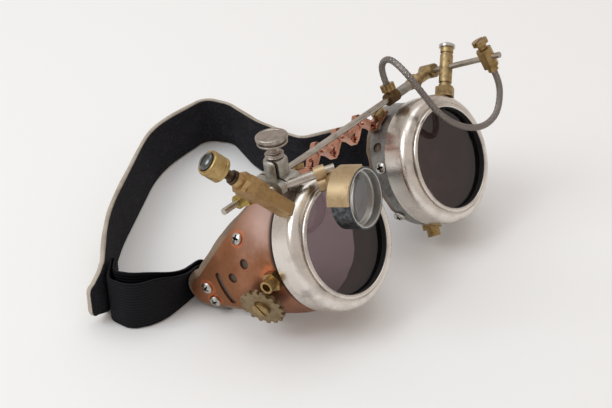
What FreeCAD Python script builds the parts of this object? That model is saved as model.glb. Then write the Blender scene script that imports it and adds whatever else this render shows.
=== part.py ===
import FreeCAD, Part
import math
import os

# Steampunk goggles with a flip-up loupe. Millimetres and degrees.
# The pieces are drawn in the wearer's frame: x to the wearer's left, y back from
# the lens openings, z up the face, origin midway between the two lens openings.
# The strap and elastic are drawn on the ground the goggles rest on. At the end
# everything is leaned back and moved so that the origin is under the middle.

V = FreeCAD.Vector
RIGHT, LEFT = -1, 1
TEMPLE, NOSE = 1, -1
parallel_share = 0.01
hexagon_sides = 6
OUTWARD_X = V(1, 0, 0)
BACK = V(0, 1, 0)
UP = V(0, 0, 1)

# How the pieces sit together
cup_spacing = 80.4
face_tilt = 30.1
rest_height = 44.6
running_fit = 0.06
seat_gap = 0.08
soft_gap = 0.3
overrun = 2.0

# Bezels, lenses and gaskets
bezel_r = 30.3
bezel_face = 6.8
bezel_depth = 14.5
bezel_wall = 1.8
lip_r = 1.0
groove_width = 0.8
groove_drop = 2.1
shoulder_start = 1.5
lens_lap = 1.4
lens_thickness = 3.0
lens_seat_depth = 3.2
gasket_thickness = 2.0

# Cup shells and their leather liners
sheet = 1.0
collar_lap = 1.0
cup_flare = 4.5
cup_back_y = 70.0
cup_top_depth = 30.0
cup_bottom_depth = 25.0
nose_taper_share = 0.19
flap_reach = 70.0
flap_tip_r = 6.6
flap_mid_z = -2.7
upper_waist_y = 43.0
upper_waist_z = 18.2
lower_waist_y = 46.0
lower_waist_z = -16.0
liner_thickness = 2.0
liner_margin = 3.2

# Screws, rivets, holes and slot on the cups
pan_head_r = 2.7
pan_head_h = 1.7
pan_shank_r = 1.2
pan_screw_length = 7.5
short_screw_length = 4.0
upper_screw_y = 36.0
upper_screw_z = 16.8
strap_screw_y = 60.0
strap_screw_z = -1.1
strap_screw_pitch = 7.1
vent_r = 2.3
front_vent_y = 34.0
front_vent_z = 6.6
rear_vent_y = 43.0
rear_vent_z = 1.4
slot_y = 51.0
slot_width = 2.8
slot_top_z = 3.5
slot_bottom_z = -10.2
nose_screw_upper_y = 18.5
nose_screw_upper_z = 10.0
nose_screw_lower_y = 22.0
nose_screw_lower_z = -15.5
nose_vent_y = 20.5
nose_vent_z = 18.5

# Gear on the right cup
gear_y = 31.5
gear_z = -11.0
gear_teeth = 16
gear_tip_r = 10.2
gear_root_r = 8.8
gear_tooth_tip_share = 0.34
gear_tooth_root_share = 0.62
gear_thickness = 1.8
gear_spacer_r = 2.6
gear_spacer_h = 3.6
gear_end_play = 0.15
gear_screw_r = 1.5
gear_head_r = 3.8
gear_head_h = 1.3
screw_slot_width = 0.8
screw_slot_depth_share = 0.5

# Brass stubs
tube_stub_y = 20.6
tube_stub_z = -2.2
tube_stub_r = 2.9
tube_stub_bore_r = 1.9
tube_stub_length = 6.4
tube_stub_hex = 8.0
tube_stub_hex_h = 2.4
low_stub_angle = 162.0
low_stub_y = 20.0
low_stub_r = 3.1
low_stub_hex = 8.4
low_stub_hex_h = 3.0
low_stub_length = 6.6

# Rods that carry the loupe and the hose
rod_r = 1.4
rod_rise = 5.1
cross_rod_y = 17.5
cross_rod_right_out = 13.1
cross_rod_left_in = 5.9
front_rod_back_y = 20.5
front_rod_front_y = -25.0

# Post on each bezel
post_angle = 38.0
post_y = 7.0
left_post_hex = 8.2
left_post_hex_h = 4.6
left_post_r = 3.1
left_post_rise = 9.7
left_post_groove = 0.6
left_post_groove_width = 1.2
left_cap_r = 3.9
left_cap_h = 2.6
left_cap_shank_r = 1.6

# Valve on the right post
valve_bar_width = 7.5
valve_bar_depth = 5.4
valve_block = 7.6
valve_block_length = 10.0
valve_nut = 8.4
valve_nut_h = 2.4
valve_neck_r = 3.2
valve_neck_h = 3.0
valve_stem_r = 2.1
valve_stem_seat = 5.0
valve_stem_length = 6.0
valve_collar_r = 3.0
valve_collar_h = 1.2
valve_knob_r = 5.4
valve_knob_h = 8.6
valve_knob_edge = 0.9
valve_cap_r = 3.8
valve_cap_h = 2.0

# Saddle between the valve block and the cross rod
saddle_out = 1.8
saddle_width = 5.6
saddle_r = 3.0

# Fittings along the cross rod
union_in = 3.7
union_length = 6.8
union_r = 3.0
union_neck_r = 2.7
union_neck_rise = 0.4
hose_nut_r = 3.4
hose_nut_h = 3.2
hose_nut_ribs = 12
hose_nut_rib_depth = 0.4
sleeve_r = 2.3
sleeve_left_out = 9.3
tee_flare_r = 3.6
tee_flare_out = 15.8
tee_waist_r = 2.7
tee_boss_r = 3.4
tee_boss_front_y = 14.0
tee_boss_wall = 1.2

# Fitting at the front end of the front rod
end_fitting_y = -18.0
end_tilt = 8.0
end_hex = 6.8
end_hex_below = 4.6
end_hex_above = 4.6
end_socket_r = 2.5
end_socket_h = 2.2
end_screw_shank_r = 1.5
end_screw_collar_r = 2.1
end_screw_collar_h = 2.4
end_screw_head_r = 3.7
end_screw_head_h = 2.0

# Hose: it rises from its nut, passes these points and climbs into the end fitting.
# The points are measured from the left cup's axis.
hose_r = 1.55
hose_bend_share = 0.45
hose_rise = 6.4
hose_climb = 6.5
hose_points = [
    (-4.9, 13.0, 53.4),
    (-8.2, 4.8, 54.2),
    (-11.0, -3.2, 46.2),
    (-9.6, -6.2, 35.0),
    (-3.8, -6.0, 21.4),
    (4.6, -8.4, 11.6),
    (13.6, -11.9, 7.2),
    (21.4, -14.9, 8.8),
    (26.2, -16.7, 14.2),
]

# Loupe clamp, arm and thumbscrew, measured from the cross rod at the valve
clamp_right_in = 8.5
clamp_left_in = 21.3
clamp_back_r = 4.6
clamp_front_r = 3.2
clamp_nose_ahead = 10.0
clamp_nose_drop = 2.2
clamp_boss_r = 5.2
clamp_boss_h = 11.4
clamp_boss_edge = 2.0
clamp_slit = 1.0
clamp_slit_in = 12.5
clamp_slit_depth = 12.4
arm_r = 1.9
arm_back = (6.1, -4.5, -1.5)
arm_front = (29.1, -25.2, -3.8)
thumb_in = 16.1
thumb_share = 0.48
thumb_shank_r = 1.5
thumb_shank_length = 7.0
thumb_flange_r = 4.0
thumb_flange_h = 2.0
thumb_neck_r = 2.5
thumb_neck_h = 3.2
thumb_head_r = 6.8
thumb_head_h = 4.8
thumb_head_groove = 0.7
thumb_head_crown = 0.9

# Loupe and its brass holder, measured from the same place
loupe_centre = (27.0, -37.5, -18.2)
loupe_axis = (0.145, -0.971, -0.183)
loupe_r = 12.8
loupe_depth = 9.0
loupe_wall = 1.1
loupe_lip = 1.0
loupe_lens_edge = 1.6
loupe_lens_crown = 1.1
loupe_lens_set = 3.4
band_gap = 0.1
band_thickness = 1.1
band_depth = 10.0
band_start_angle = 78.0
band_end_angle = 170.0
knuckle_share = 0.72
knuckle_r = 3.0
knuckle_wall = 1.0
knuckle_length = 4.6
collar_r = 3.0

# Stamped chain over the nose
chain_y = 23.5
chain_angle = 18.0
chain_pitch = 11.0
chain_sheet = 0.75
chain_width = 6.2
chain_waist = 2.9
chain_waist_length = 3.0
chain_shoulder = 1.4
chain_play = 0.3
chain_eye_width = 3.6
chain_eye_length = 4.4
chain_bar_share = 0.5
chain_stretch_share = 0.75
chain_fold_void = 6.0
chain_tip_width = 4.4
chain_tab_pitch = 8.0
chain_screw_head_r = 3.3
chain_screw_head_h = 2.2
chain_screw_r = 1.4
chain_screw_length = 3.4

# Strap and elastic, as they stand on the ground: out from the flaps at their screws, and back
strap_thickness = 2.6
strap_width = 27.0
strap_points = [
    (LEFT, -9.3, 47.0),
    (LEFT, -9.5, 65.0),
    (LEFT, -44.8, 80.5),
    (LEFT, -50.3, 102.5),
    (LEFT, -36.3, 134.5),
    (LEFT, -42.8, 148.0),
    (RIGHT, -66.8, 146.3),
    (RIGHT, -0.8, 110.5),
    (RIGHT, 27.7, 85.0),
    (RIGHT, 38.7, 83.5),
]
strap_bends = [8.0, 12.0, 44.0, 9.0, 9.0, 75.0, 150.0, 12.0]
tail_low = 4.0
tail_high = 21.0
tail_corner = 3.0
elastic_thickness = 1.5
elastic_width = 24.0
elastic_points = [
    (RIGHT, -6.3, 46.0),
    (RIGHT, -6.1, 65.2),
    (RIGHT, 19.7, 61.8),
    (RIGHT, 30.8, 69.6),
    (RIGHT, 31.7, 81.2),
    (RIGHT, 19.7, 91.0),
    (RIGHT, 17.4, 88.3),
    (RIGHT, 25.8, 81.3),
    (RIGHT, 21.2, 74.5),
    (RIGHT, 12.2, 69.2),
    (RIGHT, -9.8, 68.6),
    (RIGHT, -10.0, 46.0),
]
elastic_bends = [1.75, 2.5, 20.0, 9.0, 6.0, 1.75, 1.75, 3.0, 14.0, 20.0, 3.0, 1.75]
rivet_back = 6.5
rivet_height = 11.5
rivet_pitch = 5.0
rivet_head_r = 2.3
rivet_head_h = 1.5
rivet_shank_r = 1.1

# Sizes that follow from the ones above
cup_half = cup_spacing / 2
opening_r = bezel_r - bezel_face
lens_r = opening_r + lens_lap
collar_bore_r = opening_r + collar_lap
cup_back_r = bezel_r + cup_flare
bezel_inner_r = bezel_r - bezel_wall
shoulder_r = bezel_r - opening_r - lip_r - lip_r - groove_width
lens_pocket_r = lens_r + seat_gap
lens_back_y = lens_seat_depth + lens_thickness
gasket_back_y = lens_back_y + gasket_thickness
collar_r_out = bezel_inner_r - seat_gap
cup_slope = (cup_back_r - collar_r_out) / (cup_back_y - bezel_depth)
rod_height = bezel_r + rod_rise
post_reach = rod_height / math.cos(math.radians(post_angle))
front_rod_x = cup_half + post_reach * math.sin(math.radians(post_angle))
cross_rod_right_x = -front_rod_x - cross_rod_right_out
cross_rod_left_x = front_rod_x - cross_rod_left_in
rod_bore_r = rod_r + running_fit
left_post_height = post_reach + left_post_rise
valve_block_low = post_reach
valve_nut_low = valve_block_low + valve_block_length
valve_neck_low = valve_nut_low + valve_nut_h
valve_top = valve_neck_low + valve_neck_h
valve_knob_low = valve_top + valve_stem_length
saddle_x = -front_rod_x - saddle_out
union_x = cup_half - union_in
sleeve_left_x = cup_half + sleeve_left_out
tee_flare_x = cup_half + tee_flare_out
hose_nut_low = rod_height + union_r + union_neck_rise
clamp_right_x = clamp_right_in - front_rod_x
clamp_left_x = clamp_left_in - front_rod_x


def cup_r(y):
    """Outside radius of a cup's sheet at a depth behind the lens opening."""
    return collar_r_out + cup_slope * (y - bezel_depth)


def frame(place, axis, ahead=BACK):
    """Placement whose z is the axis and whose x is as near as may be to ahead, or to up if they align."""
    z = V(axis).normalize()
    side = z.cross(V(ahead))
    if side.Length < parallel_share:
        side = z.cross(UP)
    side.normalize()
    return FreeCAD.Placement(V(place), FreeCAD.Rotation(side.cross(z), side, z, "ZXY"))


def outline(steps, lift):
    """Closed wire through 2D steps: a point is a line's end, a pair is an arc's middle and end."""
    edges = []
    here = steps[0]
    for step in steps[1:] + [steps[0]]:
        curved = isinstance(step[0], tuple)
        end = step[1] if curved else step
        if math.dist(here, end) > 0:
            if curved:
                edges.append(Part.Arc(lift(here), lift(step[0]), lift(end)).toShape())
            else:
                edges.append(Part.makeLine(lift(here), lift(end)))
        here = end
    return Part.Wire(edges)


def turned(steps, place, axis):
    """Solid of revolution from (radius, height) steps about an axis."""
    face = Part.Face(outline(steps, lambda p: V(p[0], 0, p[1])))
    solid = face.revolve(V(0, 0, 0), UP, 360)
    solid.Placement = frame(place, axis)
    return solid


def dome(r, low, top):
    """Step of a profile from a rim to the axis along part of a ball."""
    rise = top - low
    ball_r = (r * r + rise * rise) / (rise + rise)
    middle_r = r / 2
    sag = ball_r - math.copysign(math.sqrt(ball_r * ball_r - middle_r * middle_r), ball_r)
    return (middle_r, top - sag), (0, top)


def drum(r, low, high, place, axis):
    """Plain cylinder between two heights along an axis."""
    return Part.makeCylinder(r, high - low, V(place) + V(axis).normalize() * low, V(axis))


def hexagon(across_flats, low, high, place, axis):
    """Six-sided bar between two heights along an axis."""
    corner_r = across_flats / 2 / math.cos(math.pi / hexagon_sides)
    corners = []
    for k in range(hexagon_sides + 1):
        turn = 2 * math.pi * k / hexagon_sides
        corners.append(V(corner_r * math.cos(turn), corner_r * math.sin(turn), low))
    bar = Part.Face(Part.makePolygon(corners)).extrude(V(0, 0, high - low))
    bar.Placement = frame(place, axis)
    return bar


def block(size_x, size_y, low, high, place, axis, ahead=BACK):
    """Square-edged bar between two heights along an axis, its x towards ahead."""
    bar = Part.makeBox(size_x, size_y, high - low, V(-size_x / 2, -size_y / 2, low))
    bar.Placement = frame(place, axis, ahead)
    return bar


def slot_cut(width, r, top, depth, place, axis):
    """Screwdriver slot across a head of the given radius."""
    return block(width, r + r + overrun, top - depth, top + overrun, place, axis)


def cup_centre(side):
    return V(side * cup_half, 0, 0)


def on_cup(side, toward, y, z):
    """Point on a cup's outside and the way square out of the sheet."""
    r = cup_r(y)
    reach = math.sqrt(r * r - z * z)
    out = V(side * toward * reach, -cup_slope * r, z).normalize()
    return V(side * (cup_half + toward * reach), y, z), out


def post_axis(side):
    angle = math.radians(post_angle)
    return V(side * math.sin(angle), 0, math.cos(angle))


def post_foot(side):
    """Point on the cup axis from which a bezel's post is measured."""
    return cup_centre(side) + BACK * post_y


def bezel(side):
    lip_out = opening_r + lip_r + lip_r
    groove_out = lip_out + groove_width
    shoulder_low = shoulder_start + shoulder_r
    bow = shoulder_r * math.sqrt(0.5)
    steps = [
        (opening_r, lens_seat_depth),
        (opening_r, lip_r),
        ((opening_r + lip_r, 0), (lip_out, lip_r)),
        (lip_out, groove_drop),
        (groove_out, groove_drop),
        (groove_out, shoulder_start),
        ((groove_out + bow, shoulder_low - bow), (bezel_r, shoulder_low)),
        (bezel_r, bezel_depth),
        (bezel_inner_r, bezel_depth),
        (bezel_inner_r, lens_back_y),
        (lens_pocket_r, lens_back_y),
        (lens_pocket_r, lens_seat_depth),
    ]
    return turned(steps, cup_centre(side), BACK)


def lens(side):
    return drum(lens_r, lens_seat_depth, lens_back_y, cup_centre(side), BACK)


def gasket(side):
    ring = drum(collar_r_out, lens_back_y, gasket_back_y, cup_centre(side), BACK)
    return ring.cut(drum(opening_r, 0, bezel_depth, cup_centre(side), BACK))


def cup_space(side, margin, drop):
    """What the cup's edge leaves of the cone: a low nose side and a flap to the temple.

    The margin moves the edge out; the drop is how far inside the cup's outside the sheet lies.
    """
    far = cup_back_r + cup_back_r
    tip_y = flap_reach + margin
    tip_r = flap_tip_r + margin
    bow = tip_r * math.sqrt(0.5)
    flap_y = tip_y - tip_r
    top_y = cup_top_depth + margin
    low_y = cup_bottom_depth + margin
    drawn = margin * math.sqrt(0.5)
    top_z = cup_r(top_y) - drop
    low_z = drop - cup_r(low_y)
    steps = [
        (0, -far),
        (0, far),
        (top_y, far),
        (top_y, top_z),
        ((upper_waist_y + drawn, upper_waist_z + drawn), (flap_y, flap_mid_z + tip_r)),
        ((flap_y + bow, flap_mid_z + bow), (tip_y, flap_mid_z)),
        ((flap_y + bow, flap_mid_z - bow), (flap_y, flap_mid_z - tip_r)),
        ((lower_waist_y + drawn, lower_waist_z - drawn), (low_y, low_z)),
        (low_y, -far),
    ]
    centre_x = side * cup_half
    wire = outline(steps, lambda p: V(centre_x, p[0], p[1]))
    temple = Part.Face(wire).extrude(V(side * far, 0, 0))

    def nose_section(away):
        cut_back = nose_taper_share * away
        slant_share = (top_y - low_y) / (top_z - low_z)
        high_y = top_y + slant_share * (far - top_z) - cut_back
        bottom_y = low_y - slant_share * (far + low_z) - cut_back
        x = centre_x - side * away
        corners = [V(x, 0, -far), V(x, 0, far), V(x, high_y, far), V(x, bottom_y, -far)]
        return Part.makePolygon(corners + corners[:1])

    nose = Part.makeLoft([nose_section(0), nose_section(cup_half)], True, True)
    return temple.fuse(nose).removeSplitter()


def cone(outer_drop, thickness, front_y):
    """Steps of a conical sheet that lies a given way inside the cup's outside."""
    back_y = cup_back_y + flap_tip_r
    near = max(front_y, bezel_depth)
    start = collar_r_out - outer_drop
    end = cup_r(back_y) - outer_drop
    return [
        (start - thickness, front_y),
        (start, front_y),
        (start, near),
        (end, back_y),
        (end - thickness, back_y),
        (start - thickness, near),
    ]


def flap_screw_places(side):
    """Screw places on a flap: one above, two where the strap is held."""
    low_z = strap_screw_z - strap_screw_pitch
    return [
        on_cup(side, TEMPLE, upper_screw_y, upper_screw_z),
        on_cup(side, TEMPLE, strap_screw_y, strap_screw_z),
        on_cup(side, TEMPLE, strap_screw_y, low_z),
    ]


def nose_screw_places():
    return [
        on_cup(LEFT, NOSE, nose_screw_upper_y, nose_screw_upper_z),
        on_cup(LEFT, NOSE, nose_screw_lower_y, nose_screw_lower_z),
    ]


def chain_anchor(side):
    """Point on a cup's outside where the chain is screwed on, and the way out from the cup's axis."""
    z = cup_r(chain_y) * math.cos(math.radians(chain_angle))
    place, out = on_cup(side, NOSE, chain_y, z)
    return place, V(out.x, 0, out.z).normalize()


def low_stub_seat():
    z = cup_r(low_stub_y) * math.cos(math.radians(low_stub_angle))
    return on_cup(LEFT, NOSE, low_stub_y, z)


def drill(shape, r, seat, through):
    place, out = seat
    return shape.cut(drum(r, -through, through, place, out))


def through_screws(shape, side, through):
    """Clearance holes for the screws that pass through a cup's sheet and liner."""
    seats = flap_screw_places(side) + [chain_anchor(side)]
    if side == LEFT:
        seats = seats + nose_screw_places()
    for seat in seats:
        shape = drill(shape, chain_screw_r + soft_gap, seat, through)
    return shape


def cup_shell(side):
    flange_back = gasket_back_y + sheet
    steps = [
        (collar_bore_r, gasket_back_y),
        (collar_r_out, gasket_back_y),
        (collar_r_out, bezel_depth),
        (cup_r(cup_back_y + flap_tip_r), cup_back_y + flap_tip_r),
        (cup_r(cup_back_y + flap_tip_r) - sheet, cup_back_y + flap_tip_r),
        (collar_r_out - sheet, bezel_depth),
        (collar_r_out - sheet, flange_back),
        (collar_bore_r, flange_back),
    ]
    through = sheet + overrun
    shell = turned(steps, cup_centre(side), BACK).common(cup_space(side, 0, sheet / 2))
    shell = through_screws(shell, side, through)
    if side == RIGHT:
        shell = drill(shell, vent_r, on_cup(side, TEMPLE, front_vent_y, front_vent_z), through)
        shell = drill(shell, vent_r, on_cup(side, TEMPLE, rear_vent_y, rear_vent_z), through)
        shell = drill(shell, gear_screw_r + seat_gap, on_cup(side, TEMPLE, gear_y, gear_z), through)
        for z in (slot_top_z, slot_bottom_z):
            shell = drill(shell, slot_width / 2, on_cup(side, TEMPLE, slot_y, z), through)
        long_slot = block(slot_width, cup_back_r + cup_back_r, slot_bottom_z, slot_top_z,
                          cup_centre(side) + BACK * slot_y + V(side * cup_back_r, 0, 0), UP)
        shell = shell.cut(long_slot)
    else:
        shell = drill(shell, vent_r, on_cup(side, NOSE, nose_vent_y, nose_vent_z), through)
    return shell


def cup_liner(side):
    front_y = gasket_back_y + sheet + soft_gap
    steps = cone(sheet + soft_gap, liner_thickness, front_y)
    middle = sheet + soft_gap + liner_thickness / 2
    liner = turned(steps, cup_centre(side), BACK).common(cup_space(side, liner_margin, middle))
    through = sheet + soft_gap + liner_thickness + overrun
    liner = through_screws(liner, side, through)
    if side == RIGHT:
        liner = drill(liner, gear_screw_r + soft_gap, on_cup(side, TEMPLE, gear_y, gear_z), through)
    return liner


def pan_screw(seat, length):
    """Round-topped screw whose head rests on the sheet."""
    place, out = seat
    top = seat_gap + pan_head_h
    rim = seat_gap + pan_head_h / 2
    steps = [
        (0, -length),
        (pan_shank_r, -length),
        (pan_shank_r, seat_gap),
        (pan_head_r, seat_gap),
        (pan_head_r, rim),
        dome(pan_head_r, rim, top),
    ]
    return turned(steps, place, out)


def slotted_screw(place, out, shank_r, low, seat, head_r, head_h):
    """Cheese-head screw with a slot; low and seat are heights along its axis."""
    top = seat + head_h
    steps = [(0, low), (shank_r, low), (shank_r, seat), (head_r, seat), (head_r, top), (0, top)]
    screw = turned(steps, place, out)
    return screw.cut(slot_cut(screw_slot_width, head_r, top, head_h * screw_slot_depth_share, place, out))


def gear_seat():
    return on_cup(RIGHT, TEMPLE, gear_y, gear_z)


def gear_spacer():
    place, out = gear_seat()
    tube = drum(gear_spacer_r, seat_gap, gear_spacer_h, place, out)
    return tube.cut(drum(gear_screw_r + seat_gap, 0, gear_spacer_h, place, out))


def gear():
    place, out = gear_seat()
    low = gear_spacer_h + gear_end_play
    pitch_angle = 360 / gear_teeth
    corners = []
    for tooth in range(gear_teeth):
        middle = tooth * pitch_angle
        for r, share in ((gear_root_r, -gear_tooth_root_share), (gear_tip_r, -gear_tooth_tip_share),
                         (gear_tip_r, gear_tooth_tip_share), (gear_root_r, gear_tooth_root_share)):
            turn = math.radians(middle + share * pitch_angle / 2)
            corners.append(V(r * math.cos(turn), r * math.sin(turn), low))
    wheel = Part.Face(Part.makePolygon(corners + corners[:1])).extrude(UP * gear_thickness)
    wheel.Placement = frame(place, out)
    return wheel.cut(drum(gear_screw_r + running_fit, 0, low + gear_thickness + overrun, place, out))


def gear_screw():
    place, out = gear_seat()
    seat = gear_spacer_h + gear_end_play + gear_thickness + gear_end_play
    return slotted_screw(place, out, gear_screw_r, -sheet, seat, gear_head_r, gear_head_h)


def tube_stub():
    place, out = on_cup(RIGHT, TEMPLE, tube_stub_y, tube_stub_z)
    stub = drum(tube_stub_r, seat_gap, tube_stub_length, place, out)
    stub = stub.fuse(hexagon(tube_stub_hex, seat_gap, tube_stub_hex_h, place, out))
    return stub.cut(drum(tube_stub_bore_r, tube_stub_hex_h, tube_stub_length + overrun, place, out))


def low_stub():
    place, out = low_stub_seat()
    stub = drum(low_stub_r, seat_gap, low_stub_length, place, out)
    return stub.fuse(hexagon(low_stub_hex, seat_gap, low_stub_hex_h, place, out))


def cross_rod_at(x):
    return V(x, cross_rod_y, rod_height)


def front_rod_at(y):
    return V(front_rod_x, y, rod_height)


def cross_rod():
    return drum(rod_r, cross_rod_right_x, cross_rod_left_x, cross_rod_at(0), OUTWARD_X)


def front_rod():
    return drum(rod_r, front_rod_front_y, front_rod_back_y, front_rod_at(0), BACK)


def bezel_wall_cut(side):
    """Space that a bezel takes under a fitting that stands on it."""
    return drum(bezel_r + seat_gap, 0, bezel_depth, cup_centre(side), BACK)


def left_post():
    foot, axis = post_foot(LEFT), post_axis(LEFT)
    hex_top = bezel_r + left_post_hex_h
    groove_r = left_post_r - left_post_groove
    gap = left_post_groove_width
    low_groove = hex_top + gap
    high_groove = left_post_height - gap - gap - gap
    steps = [
        (0, hex_top),
        (left_post_r, hex_top),
        (left_post_r, low_groove),
        (groove_r, low_groove),
        (groove_r, low_groove + gap),
        (left_post_r, low_groove + gap),
        (left_post_r, high_groove),
        (groove_r, high_groove),
        (groove_r, high_groove + gap),
        (left_post_r, high_groove + gap),
        (left_post_r, left_post_height),
        (0, left_post_height),
    ]
    post = turned(steps, foot, axis)
    post = post.fuse(hexagon(left_post_hex, bezel_r - overrun, hex_top, foot, axis))
    post = post.cut(bezel_wall_cut(LEFT))
    post = post.cut(drum(rod_bore_r, post_y - bezel_depth, post_y + bezel_depth, front_rod_at(0), BACK))
    return post.cut(drum(left_cap_shank_r + seat_gap, post_reach, left_post_height + overrun, foot, axis))


def left_post_cap():
    low = post_reach + rod_r + seat_gap
    head_low = left_post_height + seat_gap
    top = head_low + left_cap_h
    rim = head_low + left_cap_h / 2
    steps = [
        (0, low),
        (left_cap_shank_r, low),
        (left_cap_shank_r, head_low),
        (left_cap_r, head_low),
        (left_cap_r, rim),
        dome(left_cap_r, rim, top),
    ]
    return turned(steps, post_foot(LEFT), post_axis(LEFT))


def valve_body():
    """Bar from the bezel, square block, nut and neck, bored for the stem."""
    foot, axis = post_foot(RIGHT), post_axis(RIGHT)
    bar = block(valve_bar_width, valve_bar_depth, bezel_r - overrun, valve_block_low, foot, axis)
    head = block(valve_block, valve_block, valve_block_low, valve_nut_low, foot, axis)
    nut = hexagon(valve_nut, valve_nut_low, valve_neck_low, foot, axis)
    neck = drum(valve_neck_r, valve_neck_low, valve_top, foot, axis)
    body = bar.fuse([head, nut, neck]).removeSplitter()
    body = body.cut(bezel_wall_cut(RIGHT))
    bore_low = valve_top - valve_stem_seat - seat_gap
    return body.cut(drum(valve_stem_r + running_fit, bore_low, valve_top + overrun, foot, axis))


def valve_stem():
    low = valve_top - valve_stem_seat
    collar_low = valve_top + gear_end_play
    collar_top = collar_low + valve_collar_h
    steps = [
        (0, low),
        (valve_stem_r, low),
        (valve_stem_r, collar_low),
        (valve_collar_r, collar_low),
        (valve_collar_r, collar_top),
        (valve_stem_r, collar_top),
        (valve_stem_r, valve_knob_low),
        (0, valve_knob_low),
    ]
    return turned(steps, post_foot(RIGHT), post_axis(RIGHT))


def valve_knob():
    top = valve_knob_low + valve_knob_h
    rim_r = valve_knob_r - valve_knob_edge
    steps = [
        (0, valve_knob_low),
        (rim_r, valve_knob_low),
        (valve_knob_r, valve_knob_low + valve_knob_edge),
        (valve_knob_r, top - valve_knob_edge),
        (rim_r, top),
        (0, top),
    ]
    return turned(steps, post_foot(RIGHT), post_axis(RIGHT))


def valve_cap():
    foot, axis = post_foot(RIGHT), post_axis(RIGHT)
    low = valve_knob_low + valve_knob_h
    top = low + valve_cap_h
    steps = [(0, low), (valve_cap_r, low), dome(valve_cap_r, low, top)]
    cap = turned(steps, foot, axis)
    slot_depth = valve_cap_h * screw_slot_depth_share
    return cap.cut(slot_cut(screw_slot_width, valve_cap_r, top, slot_depth, foot, axis))


def rod_saddle():
    """Ring round the cross rod with a flat foot against the back of the valve block."""
    middle = cross_rod_at(saddle_x)
    ring = drum(saddle_r, -saddle_width / 2, saddle_width / 2, middle, OUTWARD_X)
    block_back = post_y + valve_block / 2
    foot = Part.makeBox(saddle_width, cross_rod_y - block_back, saddle_r + rod_r,
                        V(saddle_x - saddle_width / 2, block_back, rod_height - (saddle_r + rod_r) / 2))
    saddle = ring.fuse(foot).removeSplitter()
    return saddle.cut(drum(rod_bore_r, -saddle_width, saddle_width, middle, OUTWARD_X))


def hose_union():
    """Brass body on the cross rod with a neck up to the hose nut."""
    middle = cross_rod_at(union_x)
    body = drum(union_r, -union_length / 2, union_length / 2, middle, OUTWARD_X)
    neck = drum(union_neck_r, 0, hose_nut_low - rod_height, middle, UP)
    body = body.fuse(neck)
    return body.cut(drum(rod_bore_r, -union_length, union_length, middle, OUTWARD_X))


def hose_nut():
    """Ribbed nut that grips the hose's end."""
    foot = V(union_x, cross_rod_y, hose_nut_low)
    nut = drum(hose_nut_r, 0, hose_nut_h, foot, UP)
    flute = Part.makeCylinder(hose_nut_rib_depth, hose_nut_h, foot + V(hose_nut_r, 0, 0), UP)
    flutes = []
    for rib in range(hose_nut_ribs):
        copy = flute.copy()
        copy.rotate(foot, UP, 360 * rib / hose_nut_ribs)
        flutes.append(copy)
    return nut.cut(Part.makeCompound(flutes))


def rod_sleeve():
    right_x = union_x + union_length / 2
    tube = drum(sleeve_r, right_x, sleeve_left_x, cross_rod_at(0), OUTWARD_X)
    return tube.cut(drum(rod_bore_r, cross_rod_right_x, sleeve_left_x + overrun, cross_rod_at(0), OUTWARD_X))


def tee_connector():
    """Flared brass sleeve on the cross rod, with a boss that takes the front rod's back end."""
    steps = [
        (0, sleeve_left_x),
        (sleeve_r, sleeve_left_x),
        (tee_flare_r, tee_flare_x),
        (tee_waist_r, tee_flare_x),
        (tee_waist_r, front_rod_x),
        (0, front_rod_x),
    ]
    tee = turned(steps, cross_rod_at(0), OUTWARD_X)
    boss_back = front_rod_back_y + tee_boss_wall
    tee = tee.fuse(drum(tee_boss_r, tee_boss_front_y, boss_back, front_rod_at(0), BACK))
    bore_end = cross_rod_left_x + seat_gap
    tee = tee.cut(drum(rod_bore_r, cross_rod_right_x, bore_end, cross_rod_at(0), OUTWARD_X))
    return tee.cut(drum(rod_bore_r, 0, front_rod_back_y + seat_gap, front_rod_at(0), BACK))


def end_axis():
    """Way up the end fitting, which is turned a little on the front rod."""
    turn = math.radians(end_tilt)
    return V(-math.sin(turn), 0, math.cos(turn))


def end_fitting():
    """Hexagon body on the front rod, with a socket under it for the hose."""
    middle, axis = front_rod_at(end_fitting_y), end_axis()
    socket_low = -end_hex_below - end_socket_h
    body = hexagon(end_hex, -end_hex_below, end_hex_above, middle, axis)
    body = body.fuse(drum(end_socket_r, socket_low, -end_hex_below, middle, axis))
    body = body.cut(drum(rod_bore_r, -end_hex, end_hex, middle, BACK))
    return body.cut(drum(end_screw_shank_r + running_fit, 0, end_hex_above + overrun, middle, axis))


def end_screw():
    middle, axis = front_rod_at(end_fitting_y), end_axis()
    low = rod_r + gear_end_play
    seat = end_hex_above + gear_end_play
    head_low = seat + end_screw_collar_h
    top = head_low + end_screw_head_h
    steps = [
        (0, low),
        (end_screw_shank_r, low),
        (end_screw_shank_r, seat),
        (end_screw_collar_r, seat),
        (end_screw_collar_r, head_low),
        (end_screw_head_r, head_low),
        (end_screw_head_r, top),
        (0, top),
    ]
    screw = turned(steps, middle, axis)
    slot_depth = end_screw_head_h * screw_slot_depth_share
    return screw.cut(slot_cut(screw_slot_width, end_screw_head_r, top, slot_depth, middle, axis))


def hose_route():
    """Points of the hose's centre line from the nut's top to the bottom of the end fitting's socket."""
    first = V(union_x, cross_rod_y, hose_nut_low + hose_nut_h)
    last = front_rod_at(end_fitting_y) - end_axis() * (end_hex_below + end_socket_h)
    between = [cup_centre(LEFT) + V(*point) for point in hose_points]
    return [first, first + UP * hose_rise] + between + [last - end_axis() * hose_climb, last]


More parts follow.
